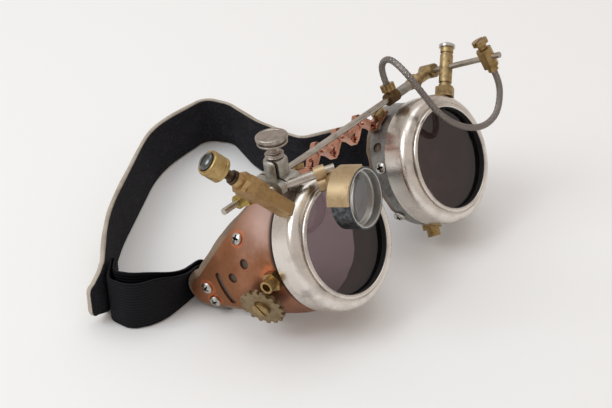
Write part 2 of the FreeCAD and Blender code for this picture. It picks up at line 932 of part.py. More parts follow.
def hose_path():
    """Straight runs joined by arcs that touch them, through the hose's points."""
    points = hose_route()
    edges = []
    start = points[0]
    for before, corner, after in zip(points, points[1:], points[2:]):
        back = (before - corner).normalize()
        on = (after - corner).normalize()
        turn = math.pi - back.getAngle(on)
        run = min((corner - before).Length, (after - corner).Length)
        cut_back = hose_bend_share * run
        bend_r = cut_back / math.tan(turn / 2)
        first = corner + back * cut_back
        last = corner + on * cut_back
        centre = corner + (back + on).normalize() * (bend_r / math.cos(turn / 2))
        middle = centre + (corner - centre).normalize() * bend_r
        print("hose bend radius", round(bend_r, 2), "turn", round(math.degrees(turn), 1))
        edges.append(Part.LineSegment(start, first).toShape())
        edges.append(Part.Arc(first, middle, last).toShape())
        start = last
    edges.append(Part.LineSegment(start, points[-1]).toShape())
    return Part.Wire(edges)


def hose():
    path = hose_path()
    ring = Part.Wire([Part.makeCircle(hose_r, hose_route()[0], UP)])
    tube = path.makePipeShell([ring], True, False)
    due = math.pi * hose_r * hose_r * path.Length
    print("hose length", round(path.Length, 2), "volume share", round(tube.Volume / due, 4))
    return tube


def on_mount(offset):
    """Place measured from the cross rod at the valve."""
    return cross_rod_at(-front_rod_x) + V(*offset)


def arm_axis():
    return (V(*arm_front) - V(*arm_back)).normalize()


def arm_length():
    return (V(*arm_front) - V(*arm_back)).Length


def clamp_chord():
    """Length and direction of the line from the cross rod to the middle of the clamp's nose."""
    away = V(0, -clamp_nose_ahead, -clamp_nose_drop)
    return away.Length, V(away).normalize()


def thumb_axis():
    """Square out of the clamp's flat top."""
    length, along = clamp_chord()
    sink = math.asin((clamp_back_r - clamp_front_r) / length)
    above = OUTWARD_X.cross(along) * -1
    return above * math.cos(sink) + along * math.sin(sink)


def thumb_foot():
    length, along = clamp_chord()
    return on_mount((thumb_in, 0, 0)) + along * (length * thumb_share)


def clamp_body():
    """Split clamp that turns on the cross rod at its back and grips the loupe's arm in its nose."""
    length, along = clamp_chord()
    up = thumb_axis()
    down = along * (2 * up.dot(along)) - up
    back = cross_rod_at(clamp_right_x)
    front = back + along * length
    back_top = back + up * clamp_back_r
    back_low = back + down * clamp_back_r
    front_top = front + up * clamp_front_r
    front_low = front + down * clamp_front_r
    edges = [
        Part.Arc(back_low, back - along * clamp_back_r, back_top).toShape(),
        Part.makeLine(back_top, front_top),
        Part.Arc(front_top, front + along * clamp_front_r, front_low).toShape(),
        Part.makeLine(front_low, back_low),
    ]
    width = clamp_left_x - clamp_right_x
    body = Part.Face(Part.Wire(edges)).extrude(OUTWARD_X * width)
    edge_low = clamp_boss_h - clamp_boss_edge
    edge_in = clamp_boss_r - clamp_boss_edge
    bow = clamp_boss_edge * math.sqrt(0.5)
    boss = turned([
        (0, 0),
        (clamp_boss_r, 0),
        (clamp_boss_r, edge_low),
        ((edge_in + bow, edge_low + bow), (edge_in, clamp_boss_h)),
        (0, clamp_boss_h),
    ], thumb_foot(), up)
    body = body.fuse(boss).removeSplitter()
    body = body.cut(drum(rod_bore_r, -width, width + width, back, OUTWARD_X))
    body = body.cut(drum(arm_r + running_fit, -arm_length(), arm_length(), on_mount(arm_back), arm_axis()))
    slit_foot = thumb_foot() + OUTWARD_X * (clamp_slit_in - thumb_in)
    slit = block(length + clamp_back_r + clamp_back_r + overrun, clamp_slit,
                 clamp_boss_h - clamp_slit_depth, clamp_boss_h + overrun, slit_foot, up)
    body = body.cut(slit)
    bore_low = clamp_boss_h - thumb_shank_length - seat_gap
    return body.cut(drum(thumb_shank_r + running_fit, bore_low, clamp_boss_h + overrun, thumb_foot(), up))


def thumb_screw():
    """Thumbscrew that draws the clamp together."""
    flange_low = clamp_boss_h + gear_end_play
    flange_top = flange_low + thumb_flange_h
    head_low = flange_top + thumb_neck_h
    head_top = head_low + thumb_head_h
    groove_low = head_low + (thumb_head_h - thumb_head_groove) / 2
    groove_r = thumb_head_r - thumb_head_groove
    tip = clamp_boss_h - thumb_shank_length
    steps = [
        (0, tip),
        (thumb_shank_r, tip),
        (thumb_shank_r, flange_low),
        (thumb_flange_r, flange_low),
        (thumb_flange_r, flange_top),
        (thumb_neck_r, flange_top),
        (thumb_neck_r, head_low),
        (thumb_head_r, head_low),
        (thumb_head_r, groove_low),
        (groove_r, groove_low),
        (groove_r, groove_low + thumb_head_groove),
        (thumb_head_r, groove_low + thumb_head_groove),
        (thumb_head_r, head_top - thumb_head_crown),
        (groove_r, head_top),
        (0, head_top),
    ]
    return turned(steps, thumb_foot(), thumb_axis())


def loupe_arm():
    return drum(arm_r, 0, arm_length(), on_mount(arm_back), arm_axis())


def loupe_back():
    """The loupe's axis pointing back to the eye."""
    return V(*loupe_axis).normalize() * -1


def loupe_ring():
    inner_r = loupe_r - loupe_wall
    lip_in = inner_r - loupe_lip
    steps = [
        (inner_r, 0),
        (loupe_r, 0),
        (loupe_r, loupe_depth),
        (lip_in, loupe_depth),
        (lip_in, loupe_lens_set + loupe_lens_edge),
        (inner_r, loupe_lens_set + loupe_lens_edge),
    ]
    return turned(steps, on_mount(loupe_centre), loupe_back())


def loupe_lens():
    edge_r = loupe_r - loupe_wall - seat_gap
    low = loupe_lens_set
    high = loupe_lens_set + loupe_lens_edge
    lip_in = loupe_r - loupe_wall - loupe_lip - seat_gap
    front_middle, front = dome(edge_r, low, low - loupe_lens_crown)
    steps = [
        front,
        (front_middle, (edge_r, low)),
        (edge_r, high),
        (lip_in, high),
        dome(lip_in, high, high + loupe_lens_crown),
    ]
    return turned(steps, on_mount(loupe_centre), loupe_back())


def arm_point(share):
    return on_mount(arm_back) + arm_axis() * (arm_length() * share)


def loupe_holder():
    """Band round the loupe, drawn back to a knuckle under the arm and a collar on it."""
    seat = frame(on_mount(loupe_centre), loupe_back(), UP)
    inner_r = loupe_r + band_gap
    outer_r = inner_r + band_thickness

    def on_band(r, angle, depth):
        turn = math.radians(angle)
        across = V(r * math.sin(turn), r * math.cos(turn), depth)
        return seat.multVec(across)

    def band_wire(r_low, r_high, point):
        first, last = band_start_angle, band_end_angle
        middle = (first + last) / 2
        return Part.Wire([
            Part.Arc(point(r_high, first), point(r_high, middle), point(r_high, last)).toShape(),
            Part.makeLine(point(r_high, last), point(r_low, last)),
            Part.Arc(point(r_low, last), point(r_low, middle), point(r_low, first)).toShape(),
            Part.makeLine(point(r_low, first), point(r_high, first)),
        ])

    arc = band_wire(inner_r, outer_r, lambda r, a: on_band(r, a, 0))
    band = Part.Face(arc).extrude(loupe_back() * band_depth)
    axis = arm_axis()
    start = arm_point(knuckle_share)
    down = axis.cross(axis.cross(UP)).normalize()
    knuckle_start = start + down * (arm_r + knuckle_r)
    knuckle_seat = frame(knuckle_start + axis * knuckle_length, loupe_back(), UP)
    back_wire = band_wire(inner_r, outer_r, lambda r, a: on_band(r, a, band_depth))

    def on_knuckle(r, angle):
        turn = math.radians(angle)
        return knuckle_seat.multVec(V(r * math.sin(turn), r * math.cos(turn), 0))

    knuckle_wire = band_wire(knuckle_r - knuckle_wall, knuckle_r, on_knuckle)
    neck = Part.makeLoft([back_wire, knuckle_wire], True, True)
    knuckle = drum(knuckle_r, 0, knuckle_length, knuckle_start, axis)
    bore = drum(knuckle_r - knuckle_wall, -overrun, knuckle_length - knuckle_wall, knuckle_start, axis)
    collar = drum(collar_r, 0, knuckle_length, start, axis)
    holder = band.fuse([neck, knuckle, collar]).removeSplitter().cut(bore)
    return holder.cut(drum(arm_r + running_fit, -arm_length(), arm_length(), on_mount(arm_front), axis))


def link_outline():
    """Plan of a link, along and across it: a waist at the fold, shoulders, an eye at the tip."""
    tip = chain_pitch + chain_sheet
    fold_end = -(chain_sheet + chain_sheet + chain_play) - overrun
    half = chain_width / 2
    waist = chain_waist / 2
    shoulder_end = chain_waist_length + chain_shoulder
    chamfer = (chain_width - chain_tip_width) / 2
    upper = [
        (fold_end, waist),
        (chain_waist_length, waist),
        (shoulder_end, half),
        (tip - chamfer, half),
        (tip + overrun, half - chamfer - overrun),
    ]
    lower = [(along, -across) for along, across in reversed(upper)]
    return upper + lower


def eye_cut(bar, length):
    """Slot left of an eye's end bar, with a round inner end."""
    half = chain_eye_width / 2
    high = bar - chain_sheet * chain_bar_share
    low = high - length + half
    steps = [(high, -half), (high, half), (low, half), ((low - half, 0), (low, -half))]
    wire = outline(steps, lambda p: V(p[0], p[1], -chain_width))
    return Part.Face(wire).extrude(UP * (chain_width + chain_width))


def chain_link():
    """Folded link: x along it, y across, z through it; its fold hooks round a bar at the origin."""
    inner_r = chain_sheet + chain_play
    outer_r = inner_r + chain_sheet
    bar_r = chain_sheet
    steps = [
        (0, -outer_r),
        (chain_pitch, -bar_r),
        ((chain_pitch + bar_r, 0), (chain_pitch, bar_r)),
        (0, outer_r),
        ((-outer_r, 0), (0, -outer_r)),
    ]
    void = [(0, -inner_r), (chain_fold_void, 0), (0, inner_r), ((-inner_r, 0), (0, -inner_r))]
    half = chain_width / 2

    def edge_on(p):
        return V(p[0], -half, p[1])

    strip = Part.Face(outline(steps, edge_on)).extrude(BACK * chain_width)
    strip = strip.cut(Part.Face(outline(void, edge_on)).extrude(BACK * chain_width))
    plan = Part.Face(outline(link_outline(), lambda p: V(p[0], p[1], -chain_width)))
    strip = strip.common(plan.extrude(UP * (chain_width + chain_width)))
    return strip.cut(eye_cut(chain_pitch, chain_eye_length))


def chain_tab():
    """Flat end piece: screw hole at the origin, eye with a round bar at its other end."""
    half = chain_width / 2
    bar_r = chain_sheet
    steps = [
        (-half, -bar_r),
        (chain_tab_pitch, -bar_r),
        ((chain_tab_pitch + bar_r, 0), (chain_tab_pitch, bar_r)),
        (-half, bar_r),
    ]
    strip = Part.Face(outline(steps, lambda p: V(p[0], -half, p[1]))).extrude(BACK * chain_width)
    strip = strip.cut(eye_cut(chain_tab_pitch, chain_eye_length))
    return strip.cut(drum(chain_screw_r + running_fit, -chain_width, chain_width, V(0, 0, 0), UP))


def laid(shape, here, there):
    """Piece of the chain turned so that its x runs from one joint to the next."""
    along = (there - here).normalize()
    piece = shape.copy()
    piece.Placement = FreeCAD.Placement(here, FreeCAD.Rotation(along, BACK, along.cross(BACK), "XYZ"))
    return piece


def chain_joints():
    """Joint places from the left cup to the right: flat on each cup, folded to and fro between."""
    left_seat, left_out = chain_anchor(LEFT)
    right_seat, right_out = chain_anchor(RIGHT)
    left_screw = left_seat + left_out * chain_lift(LEFT)
    right_screw = right_seat + right_out * chain_lift(RIGHT)
    left_bar = left_screw + BACK.cross(left_out) * -chain_tab_pitch
    last_hook = right_screw + BACK.cross(right_out) * chain_last_reach()
    span = last_hook - left_bar
    links = 2 * math.ceil(span.Length / (chain_pitch + chain_pitch) / chain_stretch_share)
    step = span.Length / links
    swing = math.sqrt(chain_pitch * chain_pitch - step * step)
    side = span.normalize().cross(BACK) * -1
    joints = [left_screw, left_bar]
    for link in range(1, links):
        joints.append(left_bar + span * (step * link) + side * (swing * (link % 2)))
    return joints + [last_hook, right_screw]


def chain_last_reach():
    """From the last link's fold to the screw in the middle of its eye."""
    return chain_pitch - chain_sheet * chain_bar_share - chain_eye_length / 2


def chain_half(side):
    """Half thickness of the piece of chain under a cup's chain screw."""
    if side == LEFT:
        return chain_sheet
    fold_r = chain_sheet + chain_play + chain_sheet
    return fold_r - (fold_r - chain_sheet) * chain_last_reach() / chain_pitch


def chain_rise(side):
    """How much that piece thickens under the screw's head."""
    if side == LEFT:
        return 0
    return (chain_play + chain_sheet) * chain_screw_head_r / chain_pitch


def chain_lift(side):
    """Middle of that piece above the sheet, clear of the cone at its back edge and of the fold."""
    return seat_gap + chain_half(side) + chain_rise(side) + cup_slope * chain_width / 2


def chain_pieces():
    joints = chain_joints()
    pieces = [("chain_tab", laid(chain_tab(), joints[0], joints[1]))]
    for number, (here, there) in enumerate(zip(joints[1:], joints[2:]), 1):
        pieces.append(("chain_link_%d" % number, laid(chain_link(), here, there)))
    return pieces


def chain_screw(side):
    place, out = chain_anchor(side)
    seat = chain_lift(side) + chain_half(side) + chain_rise(side) + seat_gap
    return slotted_screw(place, out, chain_screw_r, -chain_screw_length, seat,
                         chain_screw_head_r, chain_screw_head_h)


def on_ground(point):
    """Place on the ground from a side, a distance out from that flap at its screws and a distance back."""
    side, out, back = point
    return V(side * (cup_half + cup_r(strap_screw_y) + out), back, -rest_height)


def bent_route(points, bends, closed):
    """Wire through plan points on the ground, each corner rounded to its own radius."""
    floor = [on_ground(point) for point in points]
    count = len(floor)
    corners = range(count) if closed else range(1, count - 1)
    ends = []
    for bend, k in zip(bends, corners):
        corner = floor[k]
        back = (floor[k - 1] - corner).normalize()
        on = (floor[(k + 1) % count] - corner).normalize()
        half = back.getAngle(on) / 2
        reach = bend / math.tan(half)
        centre = corner + (back + on).normalize() * (bend / math.sin(half))
        middle = centre + (corner - centre).normalize() * bend
        ends.append((corner + back * reach, middle, corner + on * reach))
    edges = []
    here = ends[-1][2] if closed else floor[0]
    for first, middle, last in ends:
        edges.append(Part.makeLine(here, first))
        edges.append(Part.Arc(first, middle, last).toShape())
        here = last
    if not closed:
        edges.append(Part.makeLine(here, floor[-1]))
    return Part.Wire(edges)


def lean(shape):
    """Turn a piece drawn in the wearer's frame to the way the goggles rest."""
    piece = shape.copy()
    piece.rotate(V(0, 0, 0), OUTWARD_X, -face_tilt)
    return piece


def strap_holes(shape, side):
    """Holes for the two flap screws that hold the strap or the elastic."""
    for place, out in flap_screw_places(side)[1:]:
        long = pan_screw_length + pan_screw_length
        shape = shape.cut(lean(drum(pan_shank_r + soft_gap, -long, long, place, out)))
    return shape


def rivet_axis():
    """Way out of the strap where the elastic is riveted to it, and the way along it."""
    along = (on_ground(strap_points[-2]) - on_ground(strap_points[-3])).normalize()
    return UP.cross(along) * -1, along


def rivet_places():
    """Two rivets, one over the other, a little before the tail."""
    out, along = rivet_axis()
    low = on_ground(strap_points[-2]) - along * rivet_back + UP * rivet_height
    return [low, low + UP * rivet_pitch]


def tail_waste():
    """What is cut off the strap's tail, which narrows to an end with round corners."""
    bend, end = on_ground(strap_points[-2]), on_ground(strap_points[-1])
    along = (end - bend).normalize()
    across = UP.cross(along) * (strap_thickness + overrun)
    length = (end - bend).Length
    straight = length - tail_corner
    bow = tail_corner * math.sqrt(0.5)
    kept = [
        (0, 0),
        (straight, tail_low),
        ((straight + bow, tail_low + tail_corner - bow), (length, tail_low + tail_corner)),
        (length, tail_high - tail_corner),
        ((straight + bow, tail_high - tail_corner + bow), (straight, tail_high)),
        (0, strap_width),
    ]
    far = length + overrun
    whole = [(0, -overrun), (far, -overrun), (far, strap_width + overrun), (0, strap_width + overrun)]

    def standing(steps):
        wire = outline(steps, lambda p: bend - across + along * p[0] + UP * p[1])
        return Part.Face(wire).extrude(across + across)

    return standing(whole).cut(standing(kept))


def head_strap():
    route = bent_route(strap_points, strap_bends, False)
    band = route.makeOffset2D(strap_thickness, 0, True, True)
    strap = strap_holes(band.extrude(UP * strap_width), LEFT).cut(tail_waste())
    out, along = rivet_axis()
    for place in rivet_places():
        strap = strap.cut(drum(rivet_shank_r + seat_gap, -strap_width, strap_width, place, out))
    return strap


def elastic_band():
    route = bent_route(elastic_points, elastic_bends, True)
    inside = route.makeOffset2D(-elastic_thickness)
    loop = Part.Face(route).extrude(UP * elastic_width)
    loop = loop.cut(Part.Face(inside).extrude(UP * elastic_width))
    loop = strap_holes(loop, RIGHT)
    out, along = rivet_axis()
    for place in rivet_places():
        loop = loop.cut(drum(rivet_shank_r + soft_gap, -elastic_width, elastic_width, place, out))
    return loop


def strap_rivet(place):
    out, along = rivet_axis()
    low = -(elastic_thickness + soft_gap)
    seat = strap_thickness + seat_gap
    top = seat + rivet_head_h
    steps = [
        (0, low),
        (rivet_shank_r, low),
        (rivet_shank_r, seat),
        (rivet_head_r, seat),
        dome(rivet_head_r, seat, top),
    ]
    return turned(steps, place, out)


def worn_pieces():
    """Everything drawn in the wearer's frame, by name."""
    pieces = []
    for name, side in (("right", RIGHT), ("left", LEFT)):
        pieces += [
            (name + "_bezel", bezel(side)),
            (name + "_lens", lens(side)),
            (name + "_gasket", gasket(side)),
            (name + "_cup_shell", cup_shell(side)),
            (name + "_cup_liner", cup_liner(side)),
            (name + "_chain_screw", chain_screw(side)),
        ]
        upper, middle, low = flap_screw_places(side)
        pieces += [
            (name + "_flap_screw", pan_screw(upper, short_screw_length)),
            (name + "_strap_screw_upper", pan_screw(middle, pan_screw_length)),
            (name + "_strap_screw_lower", pan_screw(low, pan_screw_length)),
        ]
    for name, seat in zip(("upper", "lower"), nose_screw_places()):
        pieces.append(("left_nose_screw_" + name, pan_screw(seat, short_screw_length)))
    pieces += [
        ("gear", gear()),
        ("gear_spacer", gear_spacer()),
        ("gear_screw", gear_screw()),
        ("tube_stub", tube_stub()),
        ("low_stub", low_stub()),
        ("cross_rod", cross_rod()),
        ("front_rod", front_rod()),
        ("left_post", left_post()),
        ("left_post_cap", left_post_cap()),
        ("valve_body", valve_body()),
        ("valve_stem", valve_stem()),
        ("valve_knob", valve_knob()),
        ("valve_cap", valve_cap()),
        ("rod_saddle", rod_saddle()),
        ("hose_union", hose_union()),
        ("hose_nut", hose_nut()),
        ("rod_sleeve", rod_sleeve()),
        ("tee_connector", tee_connector()),
        ("end_fitting", end_fitting()),
        ("end_screw", end_screw()),
        ("hose", hose()),
        ("loupe_clamp", clamp_body()),
        ("thumb_screw", thumb_screw()),
        ("loupe_arm", loupe_arm()),
        ("loupe_holder", loupe_holder()),
        ("loupe_ring", loupe_ring()),
        ("loupe_lens", loupe_lens()),
    ]
    return pieces + chain_pieces()


def ground_pieces():
    """Everything drawn on the ground, by name."""
    pieces = [("head_strap", head_strap()), ("elastic_band", elastic_band())]
    for name, place in zip(("low", "high"), rivet_places()):
        pieces.append(("strap_rivet_" + name, strap_rivet(place)))
    return pieces


def main():
    pieces = [(name, lean(shape)) for name, shape in worn_pieces()] + ground_pieces()
    boxes = [shape.optimalBoundingBox(False) for name, shape in pieces if name != "hose"]
    whole = boxes[0]
    for box in boxes[1:]:
        whole.add(box)
    shift = V(-whole.Center.x, -whole.Center.y, -whole.ZMin)
    print("moved by", shift, "size", whole.XLength, whole.YLength, whole.ZLength)
    os.makedirs("parts", exist_ok=True)
    for name, shape in pieces:
        piece = shape.copy()
        piece.translate(shift)
        if not piece.isValid() or len(piece.Solids) != 1:
            print("check", name, piece.isValid(), len(piece.Solids), piece.Volume)
        piece.Solids[0].exportStep("parts/%s.step" % name)


main()
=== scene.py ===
"""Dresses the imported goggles: soft pieces, fine metalwork, finishes, stage and camera."""
import math

import bmesh
import bpy
import numpy as np
from mathutils import Matrix, Vector


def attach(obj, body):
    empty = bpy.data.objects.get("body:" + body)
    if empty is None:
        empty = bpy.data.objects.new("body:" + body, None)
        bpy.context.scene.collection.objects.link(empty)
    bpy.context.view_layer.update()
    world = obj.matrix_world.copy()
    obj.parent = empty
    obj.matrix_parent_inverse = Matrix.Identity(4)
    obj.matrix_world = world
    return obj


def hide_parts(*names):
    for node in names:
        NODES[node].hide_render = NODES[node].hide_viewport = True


bl_info = {
    "name": "Goggles with a flip-up loupe",
    "version": (1, 0, 0),
    "blender": (4, 5, 0),
    "location": "View3D > Sidebar > Goggles",
    "description": "Builds the soft pieces, fine metalwork and finishes of the goggles on their solids",
    "category": "Object",
}

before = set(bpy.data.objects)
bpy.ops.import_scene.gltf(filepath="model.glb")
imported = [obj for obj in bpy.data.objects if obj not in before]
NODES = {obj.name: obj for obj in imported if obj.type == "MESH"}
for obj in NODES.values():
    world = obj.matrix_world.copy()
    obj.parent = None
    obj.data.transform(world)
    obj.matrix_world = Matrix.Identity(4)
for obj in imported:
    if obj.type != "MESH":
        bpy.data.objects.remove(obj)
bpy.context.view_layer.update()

MM = 0.001
LEAN = math.radians(30.1)
SHIFT = np.array([17.5747, -68.5316, 44.6])
RIGHT, LEFT = -1, 1
SIDES = {"right": RIGHT, "left": LEFT}
CUP_HALF = 40.2
FULL_TURN = 2 * math.pi
# Points on each rounded corner of a plan route
ARC_STEPS = 14
# A direction that no turned piece's axis follows; their angles are counted from it
ROUND_START = (0.31, 0.83, 0.2)


def unit(ways):
    """Directions of length one, along the last axis."""
    return ways / np.linalg.norm(ways, axis=-1, keepdims=True)


def ramp(value, low, high):
    """0 at low and before it, 1 at high and past it, straight between."""
    return np.clip((value - low) / (high - low), 0, 1)


def zigzag(turns):
    """1 at whole numbers, 0 half way between them, straight between."""
    return np.abs(2 * (turns % 1) - 1)


def turn_of(count):
    """So many even angles of a full turn."""
    return np.linspace(0, FULL_TURN, count, endpoint=False)


def worn(points):
    """Row-frame metres of points in the wearer's millimetres: leaned back about x, then shifted."""
    p = np.asarray(points, float)
    x, y, z = p[..., 0], p[..., 1], p[..., 2]
    c, s = math.cos(LEAN), math.sin(LEAN)
    return (np.stack([x, y * c + z * s, z * c - y * s], axis=-1) + SHIFT) * MM


def laid(points):
    """Row-frame metres of points in ground millimetres: only shifted, z counted from the ground."""
    return (np.asarray(points, float) + SHIFT * [1, 1, 0]) * MM


def worn_way(way):
    """Row-frame unit direction of a direction in the wearer's frame."""
    return unit(worn(way) - worn((0, 0, 0)))


def grid_faces(rows, columns, closed_rows=False, closed_columns=False):
    """Quads of a grid of rows by columns: each joins a point to the next row and the next column."""
    r = np.arange(rows if closed_rows else rows - 1)
    c = np.arange(columns if closed_columns else columns - 1)
    r, c = np.meshgrid(r, c, indexing="ij")
    r2, c2 = (r + 1) % rows, (c + 1) % columns
    quads = np.stack([r * columns + c, r * columns + c2, r2 * columns + c2, r2 * columns + c], axis=-1)
    return quads.reshape(-1, 4)


def end_faces(rows, columns):
    """The two faces that close the ends of a grid whose columns run round."""
    last = np.arange(columns) + (rows - 1) * columns
    return [np.arange(columns)[::-1].tolist(), last.tolist()]


def piece_from(name, points, faces, uv=None, ends=()):
    """New object of an array of points, smooth quads, flat end faces and, if given, a UV pair per point."""
    mesh = bpy.data.meshes.new(name)
    points = np.asarray(points, float).reshape(-1, 3)
    mesh.from_pydata(points, [], np.asarray(faces).tolist() + list(ends))
    mesh.polygons.foreach_set("use_smooth", np.arange(len(mesh.polygons)) < len(faces))
    if uv is not None:
        corner = np.empty(len(mesh.loops), np.int64)
        mesh.loops.foreach_get("vertex_index", corner)
        layer = mesh.uv_layers.new(name="lay")
        layer.data.foreach_set("uv", np.asarray(uv, np.float32).reshape(-1, 2)[corner].ravel())
    mesh.update()
    piece = bpy.data.objects.new(name, mesh)
    bpy.context.scene.collection.objects.link(piece)
    return piece


def even(path, count, closed=False):
    """The path's points again at even steps of its length, and the lengths up to them."""
    p = np.asarray(path, float)
    if closed:
        p = np.vstack([p, p[:1]])
    reach = np.r_[0, np.cumsum(np.linalg.norm(np.diff(p, axis=0), axis=1))]
    at = np.linspace(0, reach[-1], count + 1 if closed else count)
    at = at[:-1] if closed else at
    return np.stack([np.interp(at, reach, p[:, k]) for k in range(p.shape[1])], axis=-1), at


def rounded_route(corners, bends, closed=False):
    """Plan route through corners, each rounded by an arc of its own radius that touches both runs."""
    p = np.asarray(corners, float)
    inner = np.arange(len(p)) if closed else np.arange(1, len(p) - 1)
    back = unit(p[inner - 1] - p[inner])
    on = unit(p[(inner + 1) % len(p)] - p[inner])
    half = np.arccos(np.clip((back * on).sum(1), -1, 1)) / 2
    bend = np.asarray(bends, float)
    centre = p[inner] + unit(back + on) * (bend / np.sin(half))[:, None]
    first = p[inner] + back * (bend / np.tan(half))[:, None] - centre
    last = p[inner] + on * (bend / np.tan(half))[:, None] - centre
    sweep = math.pi - 2 * half
    t = np.linspace(0, 1, ARC_STEPS)[None, :]
    w1 = np.sin((1 - t) * sweep[:, None]) / np.sin(sweep)[:, None]
    w2 = np.sin(t * sweep[:, None]) / np.sin(sweep)[:, None]
    arcs = centre[:, None] + first[:, None] * w1[..., None] + last[:, None] * w2[..., None]
    route = arcs.reshape(-1, 2)
    return route if closed else np.vstack([p[:1], route, p[-1:]])


def right_of(path, closed=False):
    """Unit normals on the right of a plan path, from the difference of its neighbours."""
    if closed:
        way = np.roll(path, -1, axis=0) - np.roll(path, 1, axis=0)
    else:
        way = np.gradient(path, axis=0)
    way = unit(way)
    return np.stack([way[:, 1], -way[:, 0]], axis=-1)


def axes_of(way):
    """Two unit directions across an axis, and the axis itself."""
    w = unit(np.asarray(way, float))
    side = unit(np.cross(w, ROUND_START))
    return np.cross(side, w), side, w


class Value:
    """A socket of a finish's nodes; sums and products of values add Math nodes."""

    def __init__(self, finish, socket):
        self.finish = finish
        self.socket = socket

    def math(self, operation, *others):
        """Result of a Math node that has this value first."""
        return self.finish.node("ShaderNodeMath", {"operation": operation}, self, *others)

    def __add__(self, other):
        return self.math("ADD", other)

    __radd__ = __add__

    def __mul__(self, other):
        return self.math("MULTIPLY", other)

    __rmul__ = __mul__

    def __sub__(self, other):
        return self.math("SUBTRACT", other)

    def __rsub__(self, other):
        return self.finish.node("ShaderNodeMath", {"operation": "SUBTRACT"}, other, self)

    def clamp(self):
        """The value kept between 0 and 1."""
        return self.finish.node("ShaderNodeClamp", {}, self)

    def step(self, low, high):
        """0 below low, 1 above high, smooth between."""
        smooth = {"interpolation_type": "SMOOTHSTEP"}
        return self.finish.node("ShaderNodeMapRange", smooth, self, low, high, 0.0, 1.0)


class Finish:
    """A material, with one way to add nodes to it."""

    def __init__(self, name):
        self.material = bpy.data.materials.new(name)
        self.material.use_nodes = True
        self.tree = self.material.node_tree
        self.shader = self.tree.nodes["Principled BSDF"]

    def node(self, kind, settings, *values, out=0, at=None):
        """Add a node with its settings, and feed its sockets in order or at the given numbers."""
        made = self.tree.nodes.new(kind)
        for key, setting in settings.items():
            setattr(made, key, setting)
        for number, value in zip(at or range(len(values)), values):
            self.feed(made.inputs[number], value)
        return Value(self, made.outputs[out])

    def feed(self, socket, value):
        """Link a value to a socket, or set the socket to a number, vector or colour."""
        if isinstance(value, Value):
            self.tree.links.new(value.socket, socket)
        elif value is not None:
            socket.default_value = (*value, 1) if socket.type == "RGBA" and len(value) == 3 else value

    def set(self, **sockets):
        """Feed the shader's sockets, named with _ for a space."""
        for name, value in sockets.items():
            self.feed(self.shader.inputs[name.replace("_", " ")], value)

    @property
    def place(self):
        """Object coordinates, in metres."""
        return self.node("ShaderNodeTexCoord", {}, out=3)

    @property
    def lay(self):
        """The piece's own UV map."""
        return self.node("ShaderNodeUVMap", {"uv_map": "lay"})

    def split(self, vector):
        """The x and y of a vector, as two values."""
        made = self.tree.nodes.new("ShaderNodeSeparateXYZ")
        self.feed(made.inputs[0], vector)
        return Value(self, made.outputs[0]), Value(self, made.outputs[1])

    def noise(self, scale, detail=3.0, rough=0.55, stretch=None):
        """Smooth noise of a value from 0 to 1 at so many waves a metre."""
        where = self.place
        if stretch:
            where = self.node("ShaderNodeMapping", {}, where, None, None, stretch)
        return self.node("ShaderNodeTexNoise", {}, where, scale, detail, rough, at=(0, 2, 3, 4))

    def mix(self, share, first, second):
        """Colour between two colours."""
        return self.node("ShaderNodeMix", {"data_type": "RGBA"}, share, first, second, out=2, at=(0, 6, 7))

    def bump(self, height, strength, distance):
        """Normal of a relief whose height is the value times a distance in metres."""
        return self.node("ShaderNodeBump", {}, strength, distance, height, at=(0, 1, 3))

    def vector(self, operation, *values, out=0):
        """Result of a Vector Math node."""
        return self.node("ShaderNodeVectorMath", {"operation": operation}, *values, out=out)

    def off_axis(self, place, way):
        """Distance from a line through a place, in metres."""
        local = self.vector("SUBTRACT", self.place, tuple(place))
        return self.vector("LENGTH", self.vector("CROSS_PRODUCT", local, tuple(way)), out=1)

    def along(self, place, way):
        """Distance past a place along a direction, in metres."""
        local = self.vector("SUBTRACT", self.place, tuple(place))
        return self.vector("DOT_PRODUCT", local, tuple(way), out=1)

    def off_point(self, place):
        """Distance from a place, in metres."""
        return self.vector("DISTANCE", self.place, tuple(place), out=1)


def linear(red, green, blue):
    """Linear colour of an 8-bit screen colour."""
    c = np.array([red, green, blue]) / 255
    return tuple(np.where(c <= 0.04045, c / 12.92, ((c + 0.055) / 1.055) ** 2.4).tolist())


def worn_metal(name, bright, dark, rough, patch, marks, tarnish, relief=0.1):
    """Metal of two screen colours: cloudy tarnish at patch waves a metre, fine scratches and tiny pits."""
    f = Finish(name)
    cloud = f.noise(patch, 4, 0.6)
    speck = f.noise(patch * 6, 3, 0.6)
    scratch = f.noise(marks, 2, 0.5, (1, 0.12, 0.5))
    stain = (cloud * 0.7 + speck * 0.3).step(0.42, 0.68) * tarnish
    colour = f.mix(stain, linear(*bright), linear(*dark))
    gloss = rough + stain * 0.16 + (scratch - 0.5) * 0.22
    lumps = cloud * 0.1 + speck * 0.2 + scratch * 0.7
    f.set(Base_Color=colour, Metallic=1.0, Roughness=gloss.clamp(), Normal=f.bump(lumps, relief, 0.0004))
    return f


# Fine turning marks to a metre of radius, and the radii between which a bezel's bore turns bright
TURNED_RINGS = 5200
BORE_BLACK, BORE_BRIGHT = 23.56 * MM, 23.85 * MM


